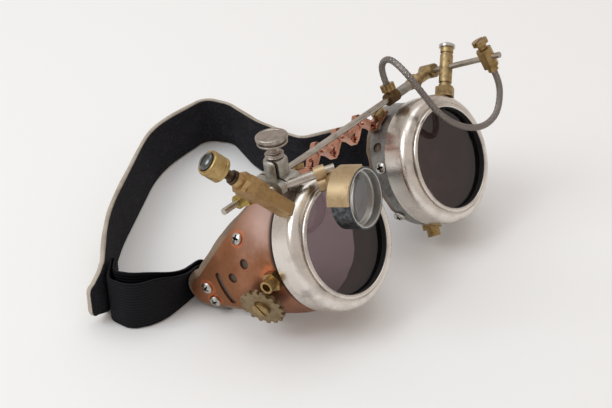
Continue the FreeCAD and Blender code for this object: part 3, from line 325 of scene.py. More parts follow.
def spun_metal(name, place, way):
    """Metal turned on a lathe: fine rings about its axis, cloudy wear, dull smudges that also carry a painted
    dark reflection, and a near-black bore.
    """
    f = Finish(name)
    r = f.off_axis(place, way)
    line = {"noise_dimensions": "1D"}
    ring = f.node("ShaderNodeTexNoise", line, r * TURNED_RINGS, 1.0, 2.0, 0.6, at=(1, 2, 3, 4))
    cloud = f.noise(120, 4, 0.6)
    # Painted reflection: the smudge patches darken the colour as reflected dark parts would, and also dull
    # the gloss.
    smudge_and_reflection = f.noise(70, 3, 0.55).step(0.6, 0.72)
    scuff = f.noise(1500, 2, 0.6, (0.25, 1, 1))
    wear = cloud.step(0.45, 0.75)
    colour = f.mix(wear * 0.5 + smudge_and_reflection * 0.4, linear(224, 217, 209), linear(160, 153, 147))
    gloss = 0.26 + (ring - 0.5) * 0.14 + wear * 0.08 + smudge_and_reflection * 0.16 + (scuff - 0.5) * 0.08
    # Inside these radii the bore wall is coloured near black and is not metal.
    bore = 1 - r.step(BORE_BLACK, BORE_BRIGHT)
    f.set(Base_Color=f.mix(bore, colour, linear(22, 20, 20)), Metallic=1 - bore)
    f.set(Roughness=(gloss + bore * 0.3).clamp())
    f.set(Normal=f.bump(ring * 0.5 + scuff * 0.3 + cloud * 0.4, 0.08, 0.0005))
    return f


def cup_line(side):
    """A point and direction of a cup's axis in the row frame."""
    return worn((side * CUP_HALF, 0, 0)), worn_way((0, 1, 0))


def paint(finish, *names):
    """Give carried-over nodes a finish."""
    for name in names:
        NODES[name].data.materials.clear()
        NODES[name].data.materials.append(finish.material)


def wear(piece, finish, body, slot, *stands_for):
    """Give a new piece its finish and the body it rides on, and hide the nodes it stands for. The slot is not
    used.
    """
    piece.data.materials.append(finish.material)
    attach(piece, body)
    if stands_for:
        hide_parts(*stands_for)


def colour_setting(name, description, *screen):
    """A colour of the panel, from an 8-bit screen colour."""
    return bpy.props.FloatVectorProperty(
        name=name, description=description, default=linear(*screen), subtype="COLOR", size=3
    )


def length_setting(name, description, length):
    """A length of the panel, from millimetres."""
    return bpy.props.FloatProperty(name=name, description=description, default=length * MM, unit="LENGTH")


class CordSettings(bpy.types.PropertyGroup):
    """Sizes and colour of the braided hose."""

    radius: length_setting("Radius", "Outside radius of the braid", 1.55)
    wires: bpy.props.IntProperty(name="Wires", description="Wire bundles each way round", default=12)
    lay: length_setting("Lay", "Length of hose in which a bundle goes once round", 13)
    colour: colour_setting("Colour", "Colour of the wires", 196, 186, 178)


class StrapSettings(bpy.types.PropertyGroup):
    """Colours of the strap and the liners, and the thickness of the lining."""

    leather: colour_setting("Leather", "Colour of the strap's outside", 180, 170, 156)
    suede: colour_setting("Suede", "Colour of the cup liners", 132, 110, 88)
    felt: length_setting("Felt", "Thickness of the strap's lining", 0.5)


class StageSettings(bpy.types.PropertyGroup):
    """Colour of the floor and focal length of the camera."""

    floor: colour_setting("Floor", "Colour of the floor", 241, 240, 239)
    lens: bpy.props.FloatProperty(name="Lens", description="Focal length in millimetres", default=70.59)


HOSE_ROUTE = [
    (36.5, 17.5, 42.0), (36.5, 17.5, 48.4), (35.3, 13.0, 53.4), (32.0, 4.8, 54.2), (29.2, -3.2, 46.2),
    (30.6, -6.2, 35.0), (36.4, -6.0, 21.4), (44.8, -8.4, 11.6), (53.8, -11.9, 7.2), (61.6, -14.9, 8.8),
    (66.4, -16.7, 14.2), (69.7085, -18.0, 22.2294), (68.8039, -18.0, 28.6662),
]
HOSE_ROWS, HOSE_AROUND = 620, 96
# How far the gaps between bundles lie under the braid's outside, and a bundle's mean rise and swing
BRAID_DEPTH, BUNDLE_MEAN, BUNDLE_SWING = 0.22 * MM, 0.62, 0.38


def cord_line(route, name):
    """Points of the smooth line that has the route as its control points, in order."""
    curve = bpy.data.curves.new(name, "CURVE")
    curve.dimensions = "3D"
    curve.resolution_u = 40
    spline = curve.splines.new("NURBS")
    spline.points.add(len(route) - 1)
    spline.points.foreach_set("co", np.c_[route, np.ones(len(route))].ravel())
    spline.order_u = 3
    spline.use_endpoint_u = True
    holder = bpy.data.objects.new(name, curve)
    bpy.context.scene.collection.objects.link(holder)
    bpy.context.view_layer.update()
    line = bpy.data.meshes.new_from_object(holder)
    points = np.empty(len(line.vertices) * 3)
    line.vertices.foreach_get("co", points)
    bpy.data.objects.remove(holder)
    bpy.data.meshes.remove(line)
    bpy.data.curves.remove(curve)
    return points.reshape(-1, 3)


def carried_frames(line):
    """Two normals along a line that turn no more than the line does.

    A fixed direction gives first normals; the turn from each to the last one carried on is summed and undone.
    """
    way = unit(np.gradient(line, axis=0))
    first = unit(np.cross(way, (0.8, 0.6, 0.1)))
    second = np.cross(way, first)
    bend = np.cross(way[:-1], way[1:])
    cosine = (way[:-1] * way[1:]).sum(1)[:, None]
    n = first[:-1]
    carried = n * cosine + np.cross(bend, n) + bend * ((bend * n).sum(1)[:, None] / (1 + cosine))
    turn = np.arctan2((carried * second[1:]).sum(1), (carried * first[1:]).sum(1))
    turn = np.r_[0, np.cumsum(turn)][:, None]
    return first * np.cos(turn) + second * np.sin(turn), second * np.cos(turn) - first * np.sin(turn)


class GOGGLES_OT_hose(bpy.types.Operator):
    """Braided hose: wire bundles of two opposite helices that pass over and under each other"""

    bl_idname = "goggles.hose"
    bl_label = "Braided hose"

    def execute(self, context):
        s = context.scene.goggles_cord
        path = cord_line(worn(HOSE_ROUTE), "hose_line")
        line, along = even(path, HOSE_ROWS)
        first, second = carried_frames(line)
        angle = turn_of(HOSE_AROUND)
        a = s.wires * angle[None, :] / FULL_TURN
        b = s.wires * along[:, None] / s.lay
        one, two = a + b, a - b
        bulge_one = np.sqrt(1 - zigzag(one) ** 2) * (BUNDLE_MEAN + BUNDLE_SWING * np.cos(math.pi * two))
        bulge_two = np.sqrt(1 - zigzag(two) ** 2) * (BUNDLE_MEAN - BUNDLE_SWING * np.cos(math.pi * one))
        rise = np.maximum(bulge_one, bulge_two)
        r = s.radius - BRAID_DEPTH * (1 - rise)
        ring = first[:, None] * np.cos(angle)[:, None] + second[:, None] * np.sin(angle)[:, None]
        points = line[:, None] + ring * r[..., None]
        uv = np.stack(np.broadcast_arrays(angle[None, :] / FULL_TURN, along[:, None] / s.lay), axis=-1)
        faces = grid_faces(HOSE_ROWS, HOSE_AROUND, closed_columns=True)
        hose = piece_from("braided_hose", points, faces, uv, end_faces(HOSE_ROWS, HOSE_AROUND))
        wear(hose, hose_finish(s), "goggles", "braided_steel", "hose")
        return {"FINISHED"}


def hose_finish(s):
    """Dull wire braid, with painted shade between the bundles."""
    f = Finish("wire_braid")
    u, v = f.split(f.lay)
    one = ((u + v) * s.wires).math("FRACT")
    two = ((u - v) * s.wires).math("FRACT")
    # Painted shade: the gaps between the bundles are coloured dark.
    gap = (one.math("PINGPONG", 0.5) * two.math("PINGPONG", 0.5)).step(0.0, 0.11)
    grime = f.noise(420, 3)
    wire = f.noise(3000, 2)
    colour = f.mix(gap, linear(52, 48, 46), f.mix(grime, linear(152, 142, 136), tuple(s.colour)))
    f.set(Base_Color=colour, Metallic=0.85, Roughness=(0.34 + grime * 0.16 + (wire - 0.5) * 0.2).clamp())
    return f


STRAP_CORNERS = [
    (64.55, 47.0), (64.35, 65.0), (29.05, 80.5), (23.55, 102.5), (37.55, 134.5),
    (31.05, 148.0), (-7.05, 146.3), (-73.05, 110.5), (-101.55, 85.0), (-112.55, 83.5),
]
STRAP_BENDS = [8.0, 12.0, 44.0, 9.0, 9.0, 75.0, 150.0, 12.0]
# How far the strap's top stands out past its foot at each corner
STRAP_LEAN = [0, 0, 2.5, 4.6, -4.0, -1.0, 2.5, 1.0, 0, 0]
STRAP_WIDTH, STRAP_THICKNESS, STRAP_EDGE = 27.0, 2.6, 0.7
FELT_INSET, FELT_EDGE, FELT_WEAVE = 0.5, 0.35, 1.1
STRAP_ROWS = 460
# Rows each way over which the lean is evened out, and how many spreads of the bell curve they cover
LEAN_ROWS, LEAN_SPREADS = 20, 2.5
TAIL_LENGTH, TAIL_LOW, TAIL_HIGH, TAIL_CORNER = 11.1, 4.0, 21.0, 3.0
ELASTIC_CORNERS = [
    (-67.55, 46.0), (-67.75, 65.2), (-93.55, 61.8), (-104.65, 69.6), (-105.55, 81.2), (-93.55, 91.0),
    (-91.25, 88.3), (-99.65, 81.3), (-95.05, 74.5), (-86.05, 69.2), (-64.05, 68.6), (-63.85, 46.0),
]
ELASTIC_BENDS = [1.75, 2.5, 20.0, 9.0, 6.0, 1.75, 1.75, 3.0, 14.0, 20.0, 3.0, 1.75]
ELASTIC_WIDTH, ELASTIC_THICKNESS, ELASTIC_EDGE = 24.0, 1.5, 0.5
RIB_PITCH, STITCH_PITCH = 1.5, 0.8
ELASTIC_ROWS = 420
# Start and end along x of the fold beside the flap, its still height, and its top's moves back and up
FOLD_START, FOLD_END, FOLD_STILL = -96.0, -72.0, 9.0
FOLD_BACK, FOLD_RISE = -4.5, -6.0


def tail_cut(up, far, whole):
    """Heights of the strap at a distance along it: past the last bend it narrows to round corners."""
    d = np.clip(far - (whole - TAIL_LENGTH), 0, TAIL_LENGTH)
    straight = TAIL_LENGTH - TAIL_CORNER
    share = np.clip(d / straight, 0, 1)
    round_part = np.clip(d - straight, 0, TAIL_CORNER)
    bow = TAIL_CORNER - np.sqrt(np.clip(TAIL_CORNER**2 - round_part**2, 0, None))
    low = TAIL_LOW * share + bow
    high = STRAP_WIDTH + (TAIL_HIGH - STRAP_WIDTH) * share - bow
    return low + (high - low) * up / STRAP_WIDTH


def band_section(low, high, inner, outer, edge, count):
    """Closed section of a flat band as (out, up): two faces, and two edges rounded by half ellipses."""
    up = np.linspace(low + edge, high - edge, count)
    half = (outer - inner) / 2
    bow = np.linspace(-math.pi / 2, math.pi / 2, 9)[1:-1]
    middle = (inner + outer) / 2
    top = np.c_[middle + half * np.sin(-bow), high - edge + edge * np.cos(bow)]
    low_edge = np.c_[middle + half * np.sin(bow), low + edge - edge * np.cos(bow)]
    outside, inside = np.c_[np.full(count, outer), up], np.c_[np.full(count, inner), up[::-1]]
    return np.vstack([outside, top, inside, low_edge])


def swept_band(name, path, along, normal, section, lean, shape, closed=False, drift=None):
    """A closed section carried along a plan path: out along the normal, up from the ground.

    It leans out with height. The shape moves the section at each length along, and the drift gives a
    move back and a move up for each place and height. The faces look outward where the normal is on the
    left of the path, and are turned round by the caller where it is on the right.
    """
    out, up = shape(section[:, 0][None, :], section[:, 1][None, :], along[:, None])
    out = out + lean[:, None] * up
    plan = path[:, None, :] + normal[:, None, :] * out[..., None]
    up = np.broadcast_to(up, out.shape)
    if drift is not None:
        back, rise = drift(plan[..., 0], up)
        plan = plan + np.stack([0 * back, back], axis=-1)
        up = up + rise
    points = laid(np.concatenate([plan, up[..., None]], axis=-1))
    rows, columns = out.shape
    faces = grid_faces(rows, columns, closed_rows=closed, closed_columns=True)
    round_section = np.r_[0, np.cumsum(np.linalg.norm(np.diff(section, axis=0), axis=1))]
    uv = np.stack(np.broadcast_arrays(along[:, None] * MM, round_section[None, :] * MM), axis=-1)
    return piece_from(name, points, faces, uv, () if closed else end_faces(rows, columns))


class GOGGLES_OT_strap(bpy.types.Operator):
    """Leather strap with a felt lining, leaning in and out along its sweep, and a narrowed tail"""

    bl_idname = "goggles.strap"
    bl_label = "Leather strap"

    def execute(self, context):
        s = context.scene.goggles_strap
        path, along = even(rounded_route(STRAP_CORNERS, STRAP_BENDS), STRAP_ROWS)
        normal = right_of(path)
        apart = np.linalg.norm(path[:, None] - np.array(STRAP_CORNERS)[None], axis=2)
        near = np.argmin(apart, axis=0)
        lean = np.interp(along, along[near], STRAP_LEAN) / STRAP_WIDTH
        spread = np.exp(-np.linspace(-LEAN_SPREADS, LEAN_SPREADS, 2 * LEAN_ROWS + 1) ** 2)
        lean = np.convolve(np.pad(lean, LEAN_ROWS, mode="edge"), spread / spread.sum(), mode="valid")
        felt = s.felt / MM

        def hide(out, up, far):
            """Slow waves of a hide's thickness and edge."""
            wave = 0.12 * np.sin(far / 9.0 + up / 7.0) + 0.08 * np.sin(far / 3.7 - up / 5.0)
            swell = 0.3 * np.sin(far / 17.0) * ramp(up, 20, STRAP_WIDTH)
            return out + wave * (out > felt), tail_cut(up + swell, far, along[-1])

        def cut_felt(out, up, far):
            """The lining has the strap's tail."""
            return out + 0 * far, tail_cut(up, far, along[-1])

        leather = band_section(0.0, STRAP_WIDTH, felt, STRAP_THICKNESS, STRAP_EDGE, 24)
        lining = band_section(FELT_INSET, STRAP_WIDTH - FELT_INSET, 0.0, felt, FELT_EDGE, 20)
        for name, section, shape, finish, stands_for in (
            ("strap_leather", leather, hide, strap_leather(s), ["head_strap"]),
            ("strap_lining", lining, cut_felt, black_felt(), []),
        ):
            layer = swept_band(name, path, along, normal, section, lean, shape)
            layer.data.flip_normals()
            wear(layer, finish, "goggles", "strap_leather", *stands_for)
        return {"FINISHED"}


def strap_leather(s):
    """Pale tan leather: pores, fine fibres and darker handled patches."""
    f = Finish("strap_leather")
    grain = f.node("ShaderNodeTexVoronoi", {"feature": "DISTANCE_TO_EDGE"}, f.place, 1500.0, at=(0, 2))
    cloud = f.noise(70, 5, 0.6)
    fine = f.noise(900, 4, 0.6)
    patch = cloud.step(0.35, 0.7)
    base = f.mix(patch, tuple(s.leather), linear(146, 135, 120))
    colour = f.mix(fine.step(0.45, 0.75) * 0.5, base, linear(196, 186, 170))
    f.set(Base_Color=colour, Roughness=(0.62 + fine * 0.2).clamp())
    f.set(Normal=f.bump(grain.step(0.0, 0.25) * 0.5 + fine * 0.6 + cloud * 0.5, 0.35, 0.0004))
    return f


def black_felt():
    """Matted black fibres over a fine weave that follows the strap."""
    f = Finish("black_felt")
    u, v = f.split(f.lay)
    threads = FULL_TURN / (FELT_WEAVE * MM)
    weave = (u * threads).math("SINE") * (v * threads).math("SINE") * 0.5 + 0.5
    fibre = f.noise(2200, 5, 0.7, (1, 1, 0.6))
    lint = f.noise(160, 4, 0.65)
    colour = f.mix(fibre.step(0.4, 0.75) * 0.75 + weave * 0.2, linear(10, 10, 12), linear(66, 65, 72))
    colour = f.mix(lint.step(0.5, 0.75) * 0.4, colour, linear(62, 58, 60))
    f.set(Base_Color=colour, Roughness=0.95, Specular_IOR_Level=0.2)
    f.set(Normal=f.bump(fibre * 0.6 + weave * 0.4, 0.8, 0.0008))
    return f


class GOGGLES_OT_elastic(bpy.types.Operator):
    """Ribbed elastic loop from the right flap to the strap"""

    bl_idname = "goggles.elastic"
    bl_label = "Elastic loop"

    def execute(self, context):
        route = rounded_route(ELASTIC_CORNERS, ELASTIC_BENDS, closed=True)
        path, along = even(route, ELASTIC_ROWS, closed=True)
        normal = right_of(path, closed=True)
        x, y = path.T
        area = 0.5 * np.sum(x * np.roll(y, -1) - np.roll(x, -1) * y)
        outward = normal if area > 0 else -normal
        section = band_section(0.0, ELASTIC_WIDTH, -ELASTIC_THICKNESS, 0.0, ELASTIC_EDGE, 84)
        middle = -ELASTIC_THICKNESS / 2

        def ribs(out, up, far):
            """Rows of rubber cords along the band, and a slow wave of its edges."""
            rib = 0.6 + 0.4 * np.sqrt(np.abs(np.cos(math.pi * up / RIB_PITCH)))
            wave = 0.3 * np.sin(far / 6.5) * (up / ELASTIC_WIDTH) + 0.2 * np.sin(far / 2.9)
            return middle + (out - middle) * rib, up + np.clip(wave, -0.4, 0.4) * (up > 0.6)

        def beside_flap(x, up):
            """The fold behind the flap follows the flap's round edge: forward and down at the top."""
            near = ramp(x, FOLD_START, FOLD_END)
            near = near * near * (3 - 2 * near)
            off = np.clip((up - FOLD_STILL) / (ELASTIC_WIDTH - FOLD_STILL), -0.8, 1)
            return FOLD_BACK * off * off * near, FOLD_RISE * ramp(up, 0, ELASTIC_WIDTH) ** 2 * near

        flat = np.zeros(len(path))
        loop = swept_band(
            "elastic_loop", path, along, outward, section, flat, ribs, closed=True, drift=beside_flap
        )
        if area > 0:
            loop.data.flip_normals()
        wear(loop, black_elastic(), "goggles", "black_elastic", "elastic_band")
        return {"FINISHED"}


def black_elastic():
    """Black covered elastic: painted shade between the cords, and fine stitches over them."""
    f = Finish("black_elastic")
    u, v = f.split(f.lay)
    stitch = (u * (FULL_TURN / (STITCH_PITCH * MM))).math("SINE") * 0.5 + 0.5
    rib = (v * (FULL_TURN / (RIB_PITCH * MM))).math("COSINE") * 0.5 + 0.5
    dust = f.noise(500, 4, 0.6)
    # Painted shade and highlight: darkest between the cords and lightest on their crests; stitches and dust
    # lighten it too.
    colour = f.mix(rib * rib * (0.5 + stitch * 0.15 + dust * 0.3), linear(2, 2, 3), linear(30, 30, 36))
    f.set(Base_Color=colour, Roughness=0.8, Specular_IOR_Level=0.2)
    f.set(Normal=f.bump(rib * 0.8 + stitch * 0.2, 0.6, 0.0004))
    return f


# Sizes of the cup cone and its edge, as the solids have them
COLLAR_R, BEZEL_DEPTH, CONE_SLOPE = 28.42, 14.5, (34.8 - 28.42) / (70.0 - 14.5)
FLAP_REACH, FLAP_TIP_R, FLAP_MID = 70.0, 6.6, -2.7
# Depths of a shell's edge at the top and below, and a depth and height on the flap's curve below and above
EDGE_TOP, EDGE_LOW = 30.0, 25.0
FLAP_BELOW, FLAP_ABOVE = (46.0, -16.0), (43.0, 18.2)
NOSE_DEPTH, NOSE_TAPER = 27.0, 0.19
LINER_THICKNESS, LINER_FRONT, LINER_DROP, LINER_PROUD = 2.0, 9.5, 1.3, 3.2
# Painted shade darkens a liner's outside where the shell covers it, from so far inside its edge, over so
# short a way
SHADE_START, SHADE_WAY = 7.0, 1.5


def cone_r(y):
    """Outside radius of a shell at a depth."""
    return COLLAR_R + CONE_SLOPE * (y - BEZEL_DEPTH)


def arc_through(first, middle, last, count):
    """Points of the circle through three plan points, from the first to the last by way of the middle."""
    a, b, c = (complex(*p) for p in (first, middle, last))
    w = (c - a) / (b - a)
    centre = (b - a) * (w - abs(w) ** 2) / (2j * w.imag) + a
    start, mid, end = (np.angle(p - centre) for p in (a, b, c))
    span = (end - start) % FULL_TURN
    if (mid - start) % FULL_TURN > span:
        span -= FULL_TURN
    turn = start + span * np.linspace(0, 1, count)
    z = centre + abs(a - centre) * np.exp(1j * turn)
    return np.c_[z.real, z.imag]


def liner_edge(margin, drop):
    """Edge of a liner as (depth, angle round the cup): the temple flap, then the slanted nose side.

    The angle is 0 at the temple, a quarter turn at the top and half a turn at the nose.
    """
    top_y, low_y = EDGE_TOP + margin, EDGE_LOW + margin
    top_z, low_z = cone_r(top_y) - drop, drop - cone_r(low_y)
    tip_y, tip_r = FLAP_REACH + margin, FLAP_TIP_R + margin
    flap_y, drawn = tip_y - tip_r, margin * math.sqrt(0.5)
    tip_low, tip_high = (flap_y, FLAP_MID - tip_r), (flap_y, FLAP_MID + tip_r)
    curve_low = (FLAP_BELOW[0] + drawn, FLAP_BELOW[1] - drawn)
    curve_high = (FLAP_ABOVE[0] + drawn, FLAP_ABOVE[1] + drawn)
    below = arc_through((low_y, low_z), curve_low, tip_low, 50)
    tip = arc_through(tip_low, (tip_y, FLAP_MID), tip_high, 40)
    above = arc_through(tip_high, curve_high, (top_y, top_z), 50)
    temple = np.vstack([below[:-1], tip[:-1], above])
    r = cone_r(temple[:, 0]) - drop
    angle = np.arcsin(np.clip(temple[:, 1] / r, -1, 1))
    nose_angle = np.linspace(math.pi / 2, math.pi * 1.5, 90)[1:-1]
    slant = (top_y - low_y) / (top_z - low_z)
    nose_r = cone_r(NOSE_DEPTH) - drop
    away, high = nose_r * -np.cos(nose_angle), nose_r * np.sin(nose_angle)
    nose_y = top_y + slant * (high - top_z) - NOSE_TAPER * away
    return np.r_[temple[:, 0], nose_y], np.r_[angle, nose_angle]


class GOGGLES_OT_liners(bpy.types.Operator):
    """Suede liners: conical sheets inside the shells, with a rounded raw edge that stands proud"""

    bl_idname = "goggles.liners"
    bl_label = "Suede liners"

    def execute(self, context):
        s = context.scene.goggles_strap
        finish = liner_suede(s)
        half, inner_drop = LINER_THICKNESS / 2, LINER_DROP + LINER_THICKNESS
        depth, angle = liner_edge(LINER_PROUD, LINER_DROP + half)
        depth = depth + 0.25 * np.sin(angle * 11) + 0.15 * np.sin(angle * 23 + 1)
        share = np.linspace(0, 1, 60)[:, None]
        bow = np.linspace(0, math.pi, 11)[1:-1][:, None]
        y_out = LINER_FRONT + (depth[None, :] - half - LINER_FRONT) * share
        y_round = depth[None, :] - half + half * np.sin(bow)
        y = np.vstack([y_out, y_round, y_out[::-1]])
        drop_round = LINER_DROP + half - half * np.cos(bow) + 0 * y_round
        drop = np.vstack([np.full_like(y_out, LINER_DROP), drop_round, np.full_like(y_out, inner_drop)])
        puff = 0.12 * np.sin(angle * 9 + y / 3.0) * (drop > LINER_DROP + half)
        r = np.maximum(cone_r(y), COLLAR_R) - drop - np.abs(puff)
        faces = grid_faces(*y.shape, closed_rows=True, closed_columns=True)
        # Painted shade: the liner's outside is marked in the UV map for dark colour where the shell covers
        # it.
        covered = ramp(depth[None, :] - y, SHADE_START, SHADE_START + SHADE_WAY)
        shade = (drop < LINER_DROP + 0.01) * covered
        uv = np.stack([shade, 0 * shade], axis=-1)
        for name, side in SIDES.items():
            x = side * (CUP_HALF + r * np.cos(angle))
            points = worn(np.stack([x, y, r * np.sin(angle)], axis=-1))
            outward = faces if side == RIGHT else faces[:, ::-1]
            liner = piece_from(name + "_liner_suede", points, outward, uv)
            wear(liner, finish, "goggles", "tan_leather", name + "_cup_liner")
        return {"FINISHED"}


def liner_suede(s):
    """Brushed suede: short pale nap over clouds, with painted shade where the shell covers it."""
    f = Finish("liner_suede")
    nap = f.noise(2200, 5, 0.7)
    cloud = f.noise(110, 4, 0.6)
    colour = f.mix(cloud.step(0.35, 0.7), tuple(s.suede), linear(108, 88, 70))
    colour = f.mix(nap.step(0.45, 0.8) * 0.5, colour, linear(176, 154, 130))
    # Painted shade: the colour turns dark where the UV map marks the liner as covered by the shell.
    painted_shell_shade, _ = f.split(f.lay)
    colour = f.mix(painted_shell_shade * 0.75, colour, linear(60, 50, 44))
    f.set(Base_Color=colour, Roughness=0.92, Sheen_Weight=0.3, Sheen_Roughness=0.5)
    f.set(Normal=f.bump(nap * 0.7 + cloud * 0.6, 0.6, 0.0007))
    return f


def on_cup(side, toward, y, z):
    """Place on a cup's outside and the way out of the sheet; toward is 1 at the temple, -1 at the nose."""
    r = cone_r(y)
    reach = math.sqrt(r * r - z * z)
    out = np.array([side * toward * reach, -CONE_SLOPE * r, z])
    return np.array([side * (CUP_HALF + toward * reach), y, z]), unit(out)


# Depth, height and length under the head of the screws that both cups have on the temple side
TEMPLE_SCREWS = {
    "flap_screw": (36.0, 16.8, 4.0),
    "strap_screw_upper": (60.0, -1.1, 7.5),
    "strap_screw_lower": (60.0, -8.2, 7.5),
}
# Each screw's cup, side of the cup (as in on_cup), depth, height and length
PAN_SCREWS = {
    f"{cup}_{name}": (side, 1, *sizes) for cup, side in SIDES.items() for name, sizes in TEMPLE_SCREWS.items()
}
PAN_SCREWS["left_nose_screw_upper"] = (LEFT, -1, 18.5, 10.0, 4.0)
PAN_SCREWS["left_nose_screw_lower"] = (LEFT, -1, 22.0, -15.5, 4.0)
PAN_R, PAN_SHANK_R, PAN_LOW, PAN_RIM, PAN_TOP, PAN_EASE = 2.7, 1.2, 0.08, 0.75, 1.78, 0.12
CROSS_HALF, CROSS_WALL, CROSS_REACH, CROSS_END, CROSS_DEPTH = 0.44, 0.12, 1.7, 0.3, 0.9
THREAD_PITCH, THREAD_DEPTH = 0.5, 0.12
# Each screw is turned on from the last one by this angle
SCREW_TURN = 0.7


class GOGGLES_OT_screws(bpy.types.Operator):
    """Pan-head screws: a domed head whose height drops in a cross, and a threaded shank"""

    bl_idname = "goggles.screws"
    bl_label = "Cross-head screws"

    def execute(self, context):
        bright = worn_metal("screw_plate", *METALS["bright_plate"][:-1])
        u, _ = bright.split(bright.lay)
        colour = Value(bright, bright.shader.inputs["Base Color"].links[0].from_socket)
        # Painted shade: the cross recess, marked by the UV map, is coloured near black.
        bright.set(Base_Color=bright.mix(u, colour, linear(34, 32, 30)))
        angle = turn_of(144)[None, :]
        r_top = np.linspace(PAN_R, 0, 26)[:, None]
        dome = PAN_RIM + (PAN_TOP - PAN_RIM) * np.sqrt(np.clip(1 - (r_top / PAN_R) ** 2, 0, 1)) ** 1.2
        for number, (node, (side, toward, y, z, length)) in enumerate(PAN_SCREWS.items()):
            turn = angle + SCREW_TURN * number
            across, along = np.abs(r_top * np.cos(turn)), np.abs(r_top * np.sin(turn))
            wall = ramp(np.minimum(across, along), CROSS_HALF, CROSS_HALF - CROSS_WALL)
            sunk = wall * ramp(np.maximum(across, along), CROSS_REACH, CROSS_REACH - CROSS_END)
            shank_h = np.linspace(-length, PAN_LOW, 60)[:, None]
            r_shank = PAN_SHANK_R - THREAD_DEPTH * zigzag(shank_h / THREAD_PITCH + angle / FULL_TURN)
            r, h = stacked([
                (0, -length), (r_shank, shank_h), (PAN_R - PAN_EASE, PAN_LOW), (PAN_R, PAN_LOW + PAN_EASE),
                (PAN_R, PAN_RIM - 0.05), (r_top, dome - CROSS_DEPTH * sunk),
            ], angle)
            tone = np.vstack([np.zeros((len(r) - len(sunk), angle.size)), sunk])
            screw = round_piece(node + "_cross", r, h, angle, *on_cup(side, toward, y, z), 40, tone)
            wear(screw, bright, "goggles", "bright_screw", node)
        return {"FINISHED"}


def stacked(rows, angle):
    """Radius and height over the angles, from pairs of numbers, columns or grids in order."""
    grids = [np.broadcast_arrays(np.atleast_2d(r), np.atleast_2d(h), angle)[:2] for r, h in rows]
    return [np.vstack(part) for part in zip(*grids)]


def turned(steps, edge, gap, angle):
    """Radius and height over the angles of a profile.

    Each corner is cut back by a small edge on both sides, and points are at most a gap apart.
    """
    p = np.asarray(steps, float)
    corner, back, on = p[1:-1], p[:-2] - p[1:-1], p[2:] - p[1:-1]
    lb, lo = np.linalg.norm(back, axis=1)[:, None], np.linalg.norm(on, axis=1)[:, None]
    first = corner + back / lb * np.minimum(edge, lb * 0.45)
    last = corner + on / lo * np.minimum(edge, lo * 0.45)
    middle = (first + last) / 2 * 0.5 + corner * 0.5
    p = np.vstack([p[:1], np.stack([first, middle, last], axis=1).reshape(-1, 2), p[-1:]])
    counts = np.ceil(np.linalg.norm(np.diff(p, axis=0), axis=1) / gap).astype(int)
    runs = [np.linspace(a, b, max(1, n), endpoint=False) for a, b, n in zip(p[:-1], p[1:], counts)]
    p = np.vstack(runs + [p[-1:]])
    return p[:, :1] + 0 * angle, p[:, 1:] + 0 * angle


def round_piece(name, r, h, angle, place, way, crisp, tone=None):
    """Surface round an axis from arrays of radius and height over rows and angles.

    Points that meet on the axis are joined. Edges sharper than crisp, in degrees, stay crisp. A tone
    per point goes to the UV map, for painted shade.
    """
    u, v, w = axes_of(way)
    local = (r * np.cos(angle))[..., None] * u + (r * np.sin(angle))[..., None] * v + h[..., None] * w
    faces = grid_faces(*r.shape, closed_columns=True)
    uv = None if tone is None else np.stack([tone, 0 * tone], axis=-1)
    piece = piece_from(name, worn(np.asarray(place, float) + local), faces, uv)
    shape = bmesh.new()
    shape.from_mesh(piece.data)
    bmesh.ops.remove_doubles(shape, verts=shape.verts, dist=1e-7)
    bmesh.ops.recalc_face_normals(shape, faces=shape.faces)
    shape.to_mesh(piece.data)
    shape.free()
    piece.data.set_sharp_from_angle(angle=math.radians(crisp))
    return piece


# The front rod's x and a point of the cross rod, as the solids have them, then the clamp and its thumbscrew
FRONT_X = 67.8575
ROD = np.array([0.0, 17.5, 35.4])
CLAMP_REACH = np.array([0.0, -10.0, -2.2])
CLAMP_WAY = unit(CLAMP_REACH)
CLAMP_SINK = math.asin((4.6 - 3.2) / np.linalg.norm(CLAMP_REACH))
THUMB_AXIS = math.cos(CLAMP_SINK) * -np.cross((1, 0, 0), CLAMP_WAY) + math.sin(CLAMP_SINK) * CLAMP_WAY
THUMB_FOOT = ROD + (16.1 - FRONT_X, 0, 0) + CLAMP_REACH * 0.48
THUMB_SEAT = 11.4
KNURLS, KNURL_DEPTH, FLUTES, FLUTE_DEPTH = 60, 0.12, 18, 0.35


